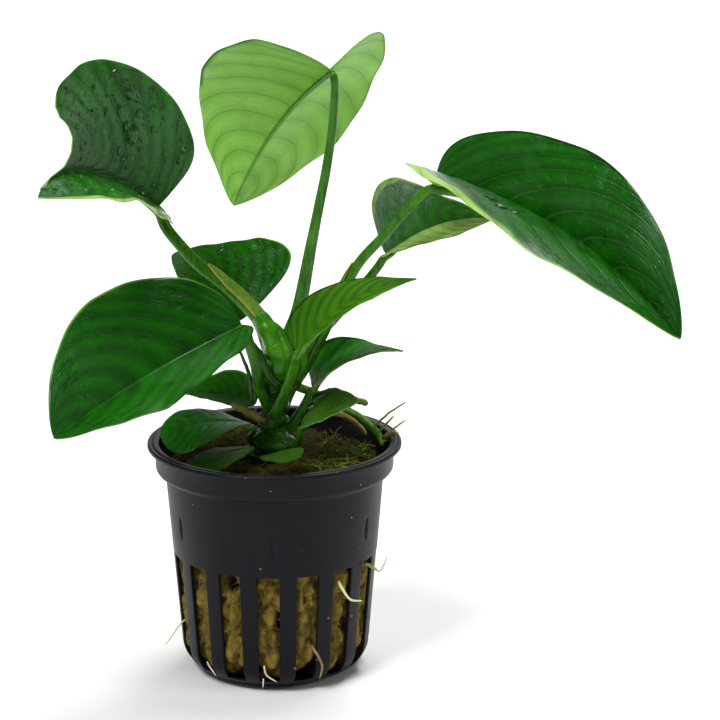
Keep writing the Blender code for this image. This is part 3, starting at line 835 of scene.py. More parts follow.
@dataclass
class Blade:
    """Leaf blade: the midrib's run, the outline on each side of it and its folds.

    Halves, folds and lobes give the left side first, seen from foot to tip. Heading, rise and
    roll give the angle at the foot and its change up to the tip. A row of turned gives a side,
    a start, the limit across there, an end and the limit across there. A pair of tuck gives a
    place across and the share of the length that the right side keeps there.
    """

    foot: Point
    length: float
    halves: Pair
    heading: Pair
    rise: Pair
    roll: Pair
    fold: Pair
    curl: float
    outline: Pair
    lobes: Pair = (0.0, 0.0)
    pinch: tuple[float, float, float] = (0.0, 0.96, 0.08)
    thickness: float = 0.5
    ripple: float = 0.45
    quilt: float = 0.1
    crease_depth: float = 0.35
    crease_width: float = 0.9
    turned: tuple[tuple[float, float, float, float, float], ...] = ()
    tuck: tuple[Pair, ...] = ()

    def __post_init__(self) -> None:
        """Work out the midrib's points and directions from foot to tip."""
        count = 60
        self.part = np.linspace(0.0, 1.0, count + 1)
        turn = np.radians(self.heading[0] + self.heading[1] * self.part)
        lift = np.radians(self.rise[0] - self.rise[1] * self.part)
        self.ahead = np.stack([np.cos(lift) * np.cos(turn), np.cos(lift) * np.sin(turn),
                               np.sin(lift)], -1)
        steps = (self.ahead[:-1] + self.ahead[1:]) / 2 * self.length / count
        foot = np.array(self.foot, float)
        self.places = np.vstack([foot, foot + np.cumsum(steps, 0)])

    def reach(self, along: np.ndarray, across: np.ndarray) -> np.ndarray:
        """Distance from the midrib along the blade's skin."""
        half = np.where(across > 0, self.halves[1], self.halves[0])
        spread = np.clip(np.sin(np.pi * along ** self.outline[0]), 0.0, None)
        return spread ** self.outline[1] * half * np.abs(across)

    def surface(self, along: np.ndarray, across: np.ndarray) -> np.ndarray:
        """Places on the blade's middle skin.

        Args:
            along: Shares of the length, 0 at the foot and 1 at the tip.
            across: Shares of the half-width, -1 at the left margin to 1 at the right.

        Returns:
            One row of x, y, z for each pair.
        """
        right = across > 0
        if self.tuck:
            limit = np.interp(across, *zip(*self.tuck))
            along = np.where(right, along * limit, along)
        half = np.where(right, self.halves[1], self.halves[0])
        lobe = np.where(right, self.lobes[1], self.lobes[0])
        margin = along - (1 + lobe) * along * (1 - along) ** 6
        reach = self.reach(along, across)
        station = along + (margin - along) * np.abs(across) ** 1.5
        held = np.clip(station, 0.0, 1.0)
        middle = along_line(held, self.part, self.places)
        forward = along_line(held, self.part, self.ahead)
        forward /= np.linalg.norm(forward, axis=1)[:, None]
        middle = middle + np.minimum(station, 0.0)[:, None] * self.length * self.ahead[0]
        turn = np.radians(self.heading[0] + self.heading[1] * held)
        level = np.stack([np.sin(turn), -np.cos(turn), np.zeros_like(turn)], -1)
        above = np.cross(level, forward)
        roll = np.radians(self.roll[0] + self.roll[1] * held)[:, None]
        side = level * np.cos(roll) + above * np.sin(roll)
        normal = above * np.cos(roll) - level * np.sin(roll)
        more = self.pinch[0] * np.exp(-((along - self.pinch[1]) / self.pinch[2]) ** 2)
        fold = np.where(right, self.fold[1] + more, self.fold[0])
        start = np.radians(fold)
        bend = math.radians(self.curl or 0.01) / half
        out = (np.sin(start + bend * reach) - np.sin(start)) / bend
        up = (np.cos(start) - np.cos(start + bend * reach)) / bend
        return middle + side * (np.sign(across) * out)[:, None] + normal * up[:, None]

    def normals(self, along: np.ndarray, across: np.ndarray) -> np.ndarray:
        """Directions out of the upper face."""
        small = 0.004
        a = np.clip(along, 0.02, 0.98)
        c = np.clip(across, -0.97, 0.97)
        ahead = self.surface(a + small, c) - self.surface(a - small, c)
        sideways = self.surface(a, c + 0.02) - self.surface(a, c - 0.02)
        up = np.cross(sideways, ahead)
        return up / np.maximum(np.linalg.norm(up, axis=1), 1e-9)[:, None]

    def waves(self, along: np.ndarray, across: np.ndarray, finish: LeafFinish,
              seed: float) -> np.ndarray:
        """Height of the margin's ripple and of the skin between the side veins."""
        size = np.abs(across)
        wave = np.sin(2 * np.pi * (2.3 * along + 0.31 * seed) + np.sign(across) * 1.1)
        wave += 0.6 * np.sin(2 * np.pi * (5.1 * along + 0.17 * seed) - across)
        phase = finish.veins * (along - finish.sweep * size ** VEIN_ARCH + 0.025)
        swell = np.cos(2 * np.pi * phase) * size ** 0.5 * (1 - size ** 4)
        ends = np.clip(np.minimum(along, 1 - along) * 6, 0, 1)
        return ends * (self.ripple * size ** 3 * wave - self.quilt * swell)

    def build(self, name: str, finish: LeafFinish, slot: Slot, nodes: tuple[str, ...],
              rows: int, columns: int) -> None:
        """Lay a grid on the blade, give it thickness and dress it.

        Args:
            name: Piece name.
            finish: Leaf skin.
            slot: Record slot; not used.
            nodes: CAD nodes the piece stands for.
            rows: Grid cells along the blade.
            columns: Grid cells across it.
        """
        bm = bmesh.new()
        bmesh.ops.create_grid(bm, x_segments=rows, y_segments=columns, size=1.0)
        uv = bm.loops.layers.uv.new(BLADE_UV)
        lengthwise = bm.verts.layers.float.new("along")
        sideways = bm.verts.layers.float.new("across")
        flat = np.array([vert.co[:2] for vert in bm.verts])
        along = (flat[:, 0] + 1) / 2
        along = 0.6 * along + 0.4 * np.sin(np.pi * along / 2) ** 2
        across = flat[:, 1]
        for face in bm.faces:
            for loop in face.loops:
                index = loop.vert.index
                loop[uv].uv = (along[index], (across[index] + 1) / 2)
        for vert, a, c, place in zip(bm.verts, along, across, self.surface(along, across)):
            vert[lengthwise] = a
            vert[sideways] = c
            vert.co = place
        bmesh.ops.remove_doubles(bm, verts=bm.verts, dist=0.02)
        bmesh.ops.recalc_face_normals(bm, faces=bm.faces)
        skin_verts = len(bm.verts)
        bmesh.ops.solidify(bm, geom=bm.faces[:], thickness=self.thickness)
        along = np.array([vert[lengthwise] for vert in bm.verts])
        across = np.array([vert[sideways] for vert in bm.verts])
        skin = self.surface(along, across)
        up = self.normals(along, across)
        now = np.array([vert.co for vert in bm.verts])
        offset = np.einsum("ij,ij->i", now - skin, up)
        first = np.arange(len(offset)) < skin_verts
        upper = first == (offset[first].mean() > offset[~first].mean())
        size = np.abs(across)
        half = self.thickness * (0.5 - 0.38 * size ** 10)
        distance = self.reach(along, across)
        crease = self.crease_depth * np.exp(-(distance / self.crease_width) ** 2)
        shared = self.waves(along, across, finish, self.length)
        height = shared + np.where(upper, half - crease * (1 - along), -half)
        for vert, place, normal, rise in zip(bm.verts, skin, up, height):
            vert.co = place + normal * rise
        shown = upper * (1 - self.turned_share(along, across))
        place_piece(bm, name, finish.material(self.length, sum(self.halves)), nodes,
                    values={"upper": shown})

    def turned_share(self, along: np.ndarray, across: np.ndarray) -> np.ndarray:
        """How far each place lies on a margin that shows the pale underside."""
        share = np.zeros_like(along)
        for side, start, first, end, last in self.turned:
            limit = first + (last - first) * (along - start) / (end - start)
            inside = (along >= start) & (along <= end) & (across * side > 0)
            depth = np.clip((np.abs(across) - limit) / 0.05 + 0.5, 0, 1)
            share = np.maximum(share, np.where(inside, depth, 0))
        return share


@dataclass
class Leaf:
    """One leaf: blade, stalk and the midrib that carries the stalk on under the blade."""

    letter: str
    blade: Blade
    finish: LeafFinish
    slot: Slot = Slot.LEAF_DARK
    stalk: tuple[Point, ...] = ()
    radii: tuple[float, float, float] = (0.0, 0.0, 0.0)
    skin: StalkFinish = field(default_factory=StalkFinish)
    rib: float = 0.8
    rib_end: float = 0.93
    large: bool = True
    swell: float = 0.0

    def build(self) -> None:
        """Build the blade and, where it has one, its stalk."""
        rows, columns = (104, 60) if self.large else (60, 34)
        self.blade.build("leaf_" + self.letter, self.finish, self.slot,
                         ("blade_" + self.letter,), rows, columns)
        self.build_stalk()

    def rib_points(self) -> np.ndarray:
        """Midrib centreline just under the blade."""
        along = np.array([0.02, 0.06, 0.12, 0.2, 0.32, 0.46, 0.6, 0.74, self.rib_end])
        across = np.zeros_like(along)
        ends = self.blade.surface(along, across)
        depth = self.rib * (1 - along) ** 0.8 + 0.24
        return ends - self.blade.normals(along, across) * depth[:, None]

    def build_stalk(self) -> None:
        """Sweep the stalk and midrib as one tapering tube."""
        points = [*self.stalk, *(tuple(place) for place in self.rib_points())]
        path = smooth_path(points, 1.0)
        stalk_length = sum(math.dist(a, b) for a, b in zip(self.stalk, self.stalk[1:]))
        whole = sum(math.dist(a, b) for a, b in zip(points, points[1:]))
        turn_share = stalk_length / whole if self.stalk else 0.0
        start, middle, end = self.radii

        def radius(share: float, turn: float) -> float:
            """Stalk radius up to the blade, then the midrib's, tapering to its tip."""
            if share < turn_share:
                part = share / turn_share
                size = float(np.interp(part, (0, 0.5, 1), (start, middle, end)))
                size *= 1 + self.swell * math.exp(-(part / 0.2) ** 2)
                return size * (1 + 0.05 * math.cos(2 * turn + 1.0))
            part = (share - turn_share) / (1 - turn_share)
            first = end if self.stalk else self.rib
            rib_now = self.rib * (1 - part) ** 0.8 + 0.12
            blend = min(1.0, part / 0.08)
            return first * (1 - blend) + rib_now * blend

        bm = bmesh.new()
        sides = 16 if self.large else 10
        sweep_tube(bm, path, sides, radius)
        nodes = ("stalk_" + self.letter,) if self.stalk else ()
        ring = np.arange(len(bm.verts)) // sides / len(path)
        fade = np.clip((ring - turn_share) / (1 - turn_share) * 4, 0, 1) * 0.9
        place_piece(bm, "stalk_" + self.letter + "_and_midrib", self.skin.material(),
                    nodes, values={"fade": fade})


DARK = LeafFinish("glossy_dark_leaf", upper="0E5402", upper_light="207406",
                  under="6E9A3A", under_vein="4E7A26", vein="2F7A1C", ior=1.24, coat=0.0)
LOW = LeafFinish("shaded_dark_leaf", upper="105602", upper_light="247606",
                 under="6E9A3A", under_vein="4E7A26", vein="3F8A20", veins=8.0, ior=1.22,
                 coat=0.0, roughness=0.4)
WET = LeafFinish("wet_dark_leaf", upper="074400", upper_light="1C6C06", under="86A850",
                 under_vein="5E8434", vein="3F7A2C", roughness=0.2, wet=1.0, ior=1.33,
                 coat=0.12, rim=0.1, beads=0.55)
BROAD = LeafFinish("broad_glossy_leaf", upper="033A00", upper_light="115C02",
                   under="7DA644", under_vein="5C8A30", vein="4A8A28", veins=7.0,
                   sweep=0.55, vein_strength=0.2, wet=0.5, ior=1.3, coat=0.12)
SMOOTH = replace(BROAD, name="smooth_glossy_leaf", upper="043C00", upper_light="146402",
                 vein_strength=0.06, vein_depth=0.05, coat=0.25)
# Pale blade: partly its own colour, partly painted light shining through it from behind.
BACKLIT_PALE = LeafFinish("pale_leaf_painted_backlight", upper="3E8A12", upper_light="5CA022",
                   under="649E1A", under_vein="447F10", vein="8CC05A", veins=8.5,
                   roughness=0.42, wet=0.1, net=0.22, sweep=0.34)
FRESH = LeafFinish("fresh_green_leaf", upper="245402", upper_light="3C7206",
                   under="3E7C10", under_vein="2A6008", vein="184A04", wet=0.1, ior=1.22,
                   coat=0.0, roughness=0.4)
OLD = LeafFinish("old_small_leaf", upper="1C4A05", upper_light="34620E", under="4F7A34",
                 under_vein="35591F", vein="8A7A34", wet=0.2, vein_strength=0.3, ior=1.2,
                 coat=0.0, roughness=0.5)

LEAVES = [
    Leaf("A", Blade((-24.7, 5.8, 101.2), 52, (18, 24), (220, 46), (39, 52), (59, -10),
                    (42, 49), -12, (0.93, 0.48), (0.05, 0.27), (36, 0.96, 0.08),
                    turned=((-1, 0.5, 1.0, 1.0, 0.85),), tuck=(
                        (0.0, 1.0), (0.033, 0.8), (0.07, 0.66), (0.19, 0.625),
                        (0.33, 0.635), (0.47, 0.683), (0.63, 0.753), (0.85, 0.8),
                        (1.0, 0.8))), WET,
         stalk=((0.2, -0.5, 71.0), (-0.8, -1.0, 75.2), (-3.4, 0.0, 78.6), (-9.4, 2.0, 83.9),
                (-15.8, 4.0, 88.7), (-20.1, 5.0, 93.1), (-23.1, 5.8, 96.8),
                (-24.4, 6.2, 99.9)), radii=(1.9, 1.3, 1.2), swell=0.25),
    Leaf("B", Blade((12.6, 3.4, 131.3), 55, (21, 25), (122, 4), (-28, 28), (-3, -41),
                    (35, 39), -18, (0.75, 0.62), (0.25, 0.25)), BACKLIT_PALE, Slot.LEAF_PALE,
         stalk=((2.0, 0.0, 70.5), (3.6, 0.0, 75.0), (5.6, 0.8, 80.8), (8.3, 1.6, 94.9),
                (10.0, 2.2, 103.4), (11.3, 2.5, 109.9), (12.6, 2.8, 118.5),
                (13.2, 2.9, 127.0), (12.9, 3.0, 130.0)), radii=(1.8, 1.1, 0.85), rib=0.38,
         skin=StalkFinish("channelled_stalk_skin", dark="184606", light="4A8A22",
                          rib="5A9420")),
    Leaf("C", Blade((34.1, -4.3, 108.2), 74.5, (17, 24), (-42, -13), (2, 35), (-31, -17),
                    (40, 70), -32, (0.84, 0.65), (0.2, 0.2),
                    turned=((1, 0.0, 0.78, 0.62, 1.0),)), BROAD,
         stalk=((1.5, 1.0, 57.5), (3.3, 2.5, 61.6), (6.3, 3.6, 66.0), (10.3, 4.2, 73.4),
                (15.3, 4.2, 84.0), (18.5, 3.4, 89.8), (23.6, 1.2, 96.0),
                (29.1, -2.0, 103.0), (33.0, -3.9, 107.2)), radii=(1.5, 1.15, 1.0)),
    Leaf("D", Blade((24.2, 14.0, 88.6), 32, (13.5, 5.5), (-36, -1), (43, 40), (-55, -80),
                    (16, 48), 11, (0.65, 0.85), (0.08, 0.0), ripple=0.2,
                    turned=((1, 0.0, 0.0, 1.0, 0.0),)), WET,
         stalk=((0.0, 1.5, 61.0), (0.8, 4.8, 64.0), (4.2, 8.4, 67.5), (10.9, 11.0, 73.0),
                (17.0, 12.2, 79.8), (22.0, 12.2, 86.0), (23.6, 12.0, 88.4)),
         radii=(1.2, 1.0, 0.9), rib=0.5),
    Leaf("E", Blade((5.2, -10.0, 73.4), 31.5, (8, 10), (-11, 4), (59, 51), (-25, 1),
                    (4, 4), 37, (0.48, 1.1), (0.01, 0.01), ripple=0.15, quilt=0.05), FRESH,
         Slot.LEAF_PALE,
         stalk=((-0.2, -3.0, 56.5), (0.4, -4.6, 58.6), (1.3, -5.0, 60.4), (3.1, -6.6, 65.0),
                (4.5, -8.4, 69.6), (5.0, -9.8, 72.6)), radii=(1.3, 1.2, 1.0), rib=0.6, large=False),
    Leaf("F", Blade((8.1, 2.0, 62.1), 23, (11.5, 7), (-6, 7), (60, 74), (-17, 10),
                    (-11, 1), 33, (0.52, 1.33), ripple=0.12, quilt=0.05), LOW,
         stalk=((1.0, 0.0, 52.0), (4.4, 1.2, 55.4), (6.3, 1.8, 58.3), (7.8, 1.8, 61.3)),
         radii=(1.0, 0.9, 0.8), rib=0.5, large=False),
    Leaf("G", Blade((-6.5, -6.1, 78.2), 50, (16, 20), (214, 6), (-15, 9), (19, 10),
                    (31, 41), -14, (0.94, 0.68), (0.2, 0.2), quilt=0.06), SMOOTH,
         stalk=((-0.4, -2.0, 56.0), (-1.2, -2.6, 59.0), (-3.0, -4.4, 64.4),
                (-3.8, -5.6, 69.5), (-5.0, -6.2, 74.0), (-6.0, -6.1, 77.2)), radii=(1.3, 1.2, 1.1)),
    Leaf("H", Blade((-5.0, 9.8, 77.0), 22.5, (10.5, 18), (152, 3), (28, -2), (30, -20),
                    (11, 8), 9, (0.61, 0.66), (0.0, 0.09), ripple=0.25, quilt=0.04),
         SMOOTH,
         stalk=((0.0, 1.5, 66.0), (-1.6, 5.0, 69.5), (-3.0, 7.0, 73.4), (-4.5, 9.0, 76.1)),
         radii=(1.1, 1.0, 0.9), rib=0.5),
    Leaf("I", Blade((-3.9, 4.0, 58.4), 16.5, (5.5, 7.5), (176, -1), (19, 27), (21, -5),
                    (9, 9), 7, (0.72, 1.05), ripple=0.12, quilt=0.05), LOW, rib=0.45,
         large=False),
    Leaf("J", Blade((-4.9, -6.2, 56.4), 20, (10, 8), (178, -3), (10, 38), (-12, 54),
                    (5, -5), -7, (0.87, 0.45), ripple=0.12, quilt=0.05), LOW,
         stalk=((-3.0, -2.4, 49.5), (-5.2, -3.0, 52.2), (-4.5, -4.0, 53.6), (-4.1, -4.9, 55.0)),
         radii=(0.9, 0.8, 0.6), rib=0.5, large=False),
    Leaf("K", Blade((-3.9, -13.1, 53.2), 15, (7.5, 5), (175, 14), (-12, 1), (-4, 25),
                    (-1, -8), 0, (0.83, 0.9), ripple=0.12, quilt=0.05), OLD, rib=0.4,
         large=False),
    Leaf("L", Blade((6.5, -17.0, 53.6), 9.5, (4.5, 3), (173, -4), (-11, 1), (10, -13),
                    (-4, -4), 0, (0.74, 0.72), ripple=0.08, quilt=0.03), OLD, rib=0.3,
         large=False),
    Leaf("M", Blade((5.9, -8.0, 56.4), 14.5, (7, 5), (-14, -3), (40, 26), (-12, -11),
                    (4, 8), 1, (0.82, 0.81), ripple=0.1, quilt=0.05), OLD,
         stalk=((1.5, -3.0, 47.5), (4.6, -5.2, 50.6), (5.6, -6.8, 53.2), (5.8, -7.8, 55.8)),
         radii=(0.8, 0.7, 0.6), rib=0.4, large=False),
    Leaf("N", Blade((7.4, 5.0, 57.9), 9.5, (2.5, 3), (-18, -4), (42, 47), (-10, 0),
                    (5, 5), 3, (0.8, 0.76), ripple=0.08, quilt=0.03), DARK,
         stalk=((1.5, 1.0, 50.5), (4.4, 3.0, 53.6), (5.6, 4.2, 55.6), (7.1, 5.2, 57.3)),
         radii=(0.8, 0.7, 0.6), rib=0.35, large=False),
]


@dataclass
class Rhizome:
    """Upright stem of short bulging joints, each ending in a slanted leaf scar."""

    path: tuple[Point, ...] = ((-0.5, -2.0, 46.2), (-0.5, -2.0, 50.4), (-0.4, -2.0, 52.7),
                               (0.0, -2.0, 54.9), (0.2, -1.8, 57.2), (0.0, -1.4, 59.4),
                               (-0.2, -0.9, 61.6), (0.0, -0.4, 63.9), (0.6, -0.2, 67.0),
                               (1.0, 0.0, 70.5), (1.1, 0.0, 73.6), (1.2, 0.0, 75.4))
    radii: tuple[float, ...] = (3.9, 5.2, 4.5, 3.4, 3.0, 2.8, 2.9, 3.2, 3.4, 3.3, 2.8, 1.8)
    joint: float = 3.9
    slant: float = 0.75
    crease: float = 0.34

    def build(self) -> None:
        """Sweep the stem with its joints and lumps."""
        marks = np.linspace(0, 1, len(self.radii))
        height = self.path[-1][2] - self.path[0][2]

        def radius(share: float, turn: float) -> float:
            """Stem radius: a bulge for each joint and a sharp crease at each scar."""
            size = float(np.interp(share, marks, self.radii))
            rise = share * height
            index = round(rise / self.joint)
            lean = self.slant * math.cos(turn + 2.4 * index)
            off = (rise + lean - index * self.joint) / self.joint
            off = abs((off + 0.5) % 1.0 - 0.5)
            bulge = self.crease * (1.6 * math.cos(math.pi * (off - 0.5)) - 1.0)
            notch = 0.5 * math.exp(-(off / 0.07) ** 2)
            place = Vector((1.4 * math.cos(turn), 1.4 * math.sin(turn), 0.5 * rise))
            lump = 0.7 * noise.noise(place) + 0.15 * noise.noise(place * 3.1)
            return size + bulge - notch + lump

        bm = bmesh.new()
        sweep_tube(bm, smooth_path(list(self.path), 0.25), 48, radius)
        skin = StalkFinish("glossy_rhizome_skin", dark="143C05", light="336E12",
                           scar="4A3612", scars=0.6, roughness=0.22, stripe=0.5)
        place_piece(bm, "rhizome_stem", skin.material(), ("rhizome",))


@dataclass
class Sheath:
    """Dry-edged sheath that clasps a stalk on one side."""

    name: str
    path: tuple[Point, ...]
    radius: Pair
    faces: Point
    wrap: float
    thickness: float = 0.22
    skin: StalkFinish = field(default_factory=StalkFinish)
    brown_from: float = 0.86

    def build(self) -> None:
        """Wrap a thin sheet round the path and brown its margins."""
        bm = bmesh.new()
        bmesh.ops.create_grid(bm, x_segments=40, y_segments=20, size=1.0)
        line = smooth_path(list(self.path), 0.4)
        share = np.linspace(0, 1, len(line))
        facing = Vector(self.faces).normalized()
        edge_layer = bm.verts.layers.float.new("edge")
        for vert in bm.verts:
            part, across = (vert.co.x + 1) / 2, vert.co.y
            centre = Vector(along_line(part, share, line))
            ahead = Vector(along_line(min(part + 0.03, 1), share, line)
                           - along_line(max(part - 0.03, 0), share, line)).normalized()
            front = (facing - ahead * facing.dot(ahead)).normalized()
            other = ahead.cross(front)
            narrow = 1 - max(0.0, (part - 0.55) / 0.45) ** 2 * 0.8
            turn = math.radians(self.wrap) * across * narrow
            size = self.radius[0] + (self.radius[1] - self.radius[0]) * part
            size *= 1 + 0.12 * abs(across) ** 3
            wobble = 0.06 * math.sin(9 * part + 5 * across)
            vert[edge_layer] = max(abs(across), (part - 0.9) * 10)
            vert.co = centre + (front * math.cos(turn) + other * math.sin(turn)) * (
                size + wobble)
        bmesh.ops.recalc_face_normals(bm, faces=bm.faces)
        bmesh.ops.solidify(bm, geom=bm.faces[:], thickness=self.thickness)
        edge = np.array([vert[edge_layer] for vert in bm.verts])
        brown = np.clip((edge - self.brown_from) / (1 - self.brown_from), 0, 1) * 0.85
        place_piece(bm, self.name, self.skin.material(),
                    values={"brown": brown})


@dataclass
class Root:
    """Root or shoot: a wandering tapered tube."""

    name: str
    path: tuple[Point, ...]
    radii: tuple[float, ...]
    finish: FibreFinish | StalkFinish
    slot: Slot
    sides: int = 10
    wobble: float = 0.08
    modelled: bool = True

    def build(self) -> None:
        """Sweep the root with small bends and an uneven thickness."""
        path = smooth_path(list(self.path), 0.5)
        bends = np.array([noise.noise_vector(Vector(p) * 0.8) for p in path])

        def radius(share: float, turn: float) -> float:
            """Root radius with low lumps and a rounded tip."""
            size = float(np.interp(share, np.linspace(0, 1, len(self.radii)), self.radii))
            size *= 1 + 0.08 * math.sin(23 * share + turn)
            return size * (1 - 0.55 * max(0.0, (share - 0.94) / 0.06) ** 2)

        bm = bmesh.new()
        sweep_tube(bm, path + bends * self.wobble, self.sides, radius)
        place_piece(bm, self.name + "_skin", self.finish.material(),
                    (self.name,) if self.modelled else ())


GREEN_ROOT = StalkFinish("fresh_green_root", dark="3F7A1A", light="86B844", scar="8A6A35",
                         scars=0.5, roughness=0.45)
OLIVE_ROOT = FibreFinish("olive_root_skin", "4A5A1E", "8A8A3C", 0.4, 0.6)
TAN_ROOT = FibreFinish("tan_root_skin", "7A6535", "A8935A", 0.5, 0.7)
PALE_ROOT = FibreFinish("pale_root_skin", "B8C878", "E6EDC0", 0.5, 0.6)
LIME_ROOT = FibreFinish("lime_rootlet_skin", "8A9A38", "B8C468", 0.5, 0.6)
WHITE_ROOT = FibreFinish("white_root_skin", "C9C7A8", "F0EEDC", 0.5, 0.6)
BRACT = FibreFinish("dry_bract_skin", "44501A", "86803A", 0.35, 0.6)
WITHERED = StalkFinish("withered_stalk_skin", dark="1E4606", light="5E6A22", scars=0.7)
CROWN_SKIN = StalkFinish("glossy_crown_skin", dark="1E6202", light="52980E", scars=0.3,
                         roughness=0.26, stripe=0.9)
STEM_SKIN = StalkFinish("dry_edged_stem_skin", dark="123C02", light="2C6A0A",
                        scar="6B4622", scars=0.7, roughness=0.3)
BROWN_ROOT = FibreFinish("brown_root_skin", "6E5A34", "A58E60", 0.4, 0.75)

ROOTS = [
    Root("aerial_root", ((1.2, 2.5, 63.0), (3.3, 5.8, 62.0), (7.2, 7.0, 60.0),
                         (10.9, 7.2, 58.4), (14.4, 8.2, 56.0), (18.1, 9.5, 53.6),
                         (20.9, 8.5, 51.4), (22.9, 6.5, 49.5), (23.6, 4.2, 48.2)),
         (1.1, 0.95, 0.8, 0.8, 0.7), GREEN_ROOT, Slot.ROOT_GREEN, 14),
    Root("inner_root", ((11.6, 4.6, 56.0), (14.8, 6.6, 54.6), (17.0, 6.6, 53.2),
                        (18.7, 5.8, 52.0), (19.8, 5.0, 50.6)), (0.7, 0.65, 0.5),
         TAN_ROOT, Slot.ROOT_GREEN),
    Root("root_stub", ((13.4, 9.9, 58.6), (16.7, 10.6, 57.2), (20.3, 10.9, 56.0)),
         (0.7, 0.75, 0.7), OLIVE_ROOT, Slot.ROOT_GREEN),
    Root("bract", ((-1.8, -3.6, 56.2), (-2.9, -4.4, 57.0), (-5.1, -5.0, 58.3),
                   (-7.2, -5.0, 59.6), (-9.2, -5.0, 60.5)), (0.8, 0.95, 1.0, 0.85, 0.55),
         BRACT, Slot.ROOT_BROWN, 14),
    Root("crown_sheath", ((-3.6, -1.6, 79.2), (-2.4, -2.0, 78.4), (-1.1, -2.4, 76.3),
                          (0.6, -2.8, 73.7), (1.4, -3.0, 71.0), (1.7, -2.8, 68.4),
                          (1.4, -2.2, 65.6), (0.8, -1.4, 63.4)),
         (1.5, 2.1, 2.6, 2.8, 2.7, 2.4, 1.9, 1.0), CROWN_SKIN, Slot.STALK, 24, 0.15,
         modelled=False),
    Root("sheath_stem", ((-6.3, -5.4, 76.6), (-5.6, -5.2, 75.0), (-4.5, -4.9, 73.0),
                         (-3.0, -4.8, 70.8), (-2.0, -4.6, 68.4), (-0.7, -4.5, 66.1),
                         (0.9, -4.2, 64.2), (1.4, -3.2, 62.0)),
         (0.9, 1.1, 1.15, 1.2, 1.15, 1.0, 0.9, 0.7), STEM_SKIN, Slot.STALK, 14, 0.15,
         modelled=False),
    Root("crown_knob", ((2.6, 0.6, 71.2), (4.6, 0.8, 70.8), (6.0, 1.0, 69.3),
                        (6.1, 1.0, 67.3), (5.2, 0.9, 65.1), (3.2, 0.8, 63.6)),
         (1.0, 1.2, 1.3, 1.3, 1.2, 0.9), CROWN_SKIN, Slot.STALK, 14, 0.12,
         modelled=False),
    Root("rootlet_1", ((20.6, 8.6, 51.6), (21.6, 8.0, 51.8), (25.1, 7.0, 55.2),
                       (28.5, 6.0, 57.8)), (0.3, 0.25, 0.18), LIME_ROOT, Slot.ROOT_PALE),
    Root("rootlet_2", ((22.0, 7.6, 50.2), (22.8, 7.0, 51.0), (24.4, 7.0, 52.7),
                       (25.9, 6.5, 54.5)), (0.3, 0.25, 0.2), LIME_ROOT, Slot.ROOT_PALE),
    Root("rootlet_3", ((22.9, 6.2, 49.5), (23.9, 5.5, 50.2), (26.1, 5.0, 52.2),
                       (28.5, 5.0, 54.0)), (0.3, 0.25, 0.18), LIME_ROOT, Slot.ROOT_PALE),
    Root("rootlet_4", ((23.4, 4.8, 48.7), (24.4, 4.5, 49.6), (25.5, 4.2, 50.8),
                       (26.8, 4.0, 51.6)), (0.28, 0.24, 0.18), LIME_ROOT, Slot.ROOT_PALE),
    Root("rim_root", ((24.0, 2.6, 50.4), (25.2, 2.4, 51.9), (26.9, 2.2, 51.9)),
         (0.4, 0.4, 0.3), TAN_ROOT, Slot.ROOT_BROWN),
    Root("slot_root_left", ((-19.5, -7.2, 12.4), (-20.9, -8.0, 11.2), (-22.3, -8.8, 9.2),
                            (-23.9, -9.0, 7.1)), (0.2, 0.18, 0.12), PALE_ROOT,
         Slot.ROOT_PALE),
    Root("slot_root_right", ((13.9, -16.8, 24.4), (14.7, -18.0, 23.4),
                             (16.4, -19.2, 21.3), (19.0, -18.4, 20.6)),
         (0.32, 0.28, 0.18), PALE_ROOT, Slot.ROOT_PALE),
    Root("slot_shoot", ((19.6, -9.6, 26.0), (20.8, -10.2, 25.7), (22.2, -10.9, 24.9)),
         (0.4, 0.36, 0.28), LIME_ROOT, Slot.ROOT_GREEN),
    Root("slot_fork", ((21.9, -10.8, 25.0), (22.8, -11.3, 24.9), (23.6, -11.2, 26.2),
                       (24.4, -10.9, 28.2)),
         (0.2, 0.18, 0.12), PALE_ROOT, Slot.ROOT_PALE),
    Root("base_root_1", ((-14.4, -14.2, 5.2), (-14.0, -15.2, 4.6), (-13.2, -15.7, 3.6),
                         (-12.5, -15.9, 2.6)), (0.18, 0.18, 0.12), WHITE_ROOT,
         Slot.ROOT_PALE),
    Root("base_root_2", ((-2.0, -20.0, 6.5), (-1.5, -20.6, 4.6), (0.7, -20.5, 3.0)),
         (0.18, 0.18, 0.12), WHITE_ROOT, Slot.ROOT_PALE),
    Root("base_root_3", ((-2.2, -19.6, 3.4), (-2.3, -19.7, 1.4)), (0.16, 0.16, 0.1),
         WHITE_ROOT, Slot.ROOT_PALE),
    Root("base_root_4", ((8.1, -19.0, 10.8), (9.6, -20.0, 8.6), (10.4, -19.4, 6.0),
                         (9.8, -18.2, 2.8)), (0.28, 0.25, 0.16), BROWN_ROOT,
         Slot.ROOT_BROWN),
    Root("withered_stalk", ((-4.6, -1.2, 59.8), (-5.2, -1.4, 65.4), (-6.3, -2.4, 69.3),
                            (-7.5, -2.6, 72.2)), (0.55, 0.45, 0.28), WITHERED,
         Slot.ROOT_BROWN),
]


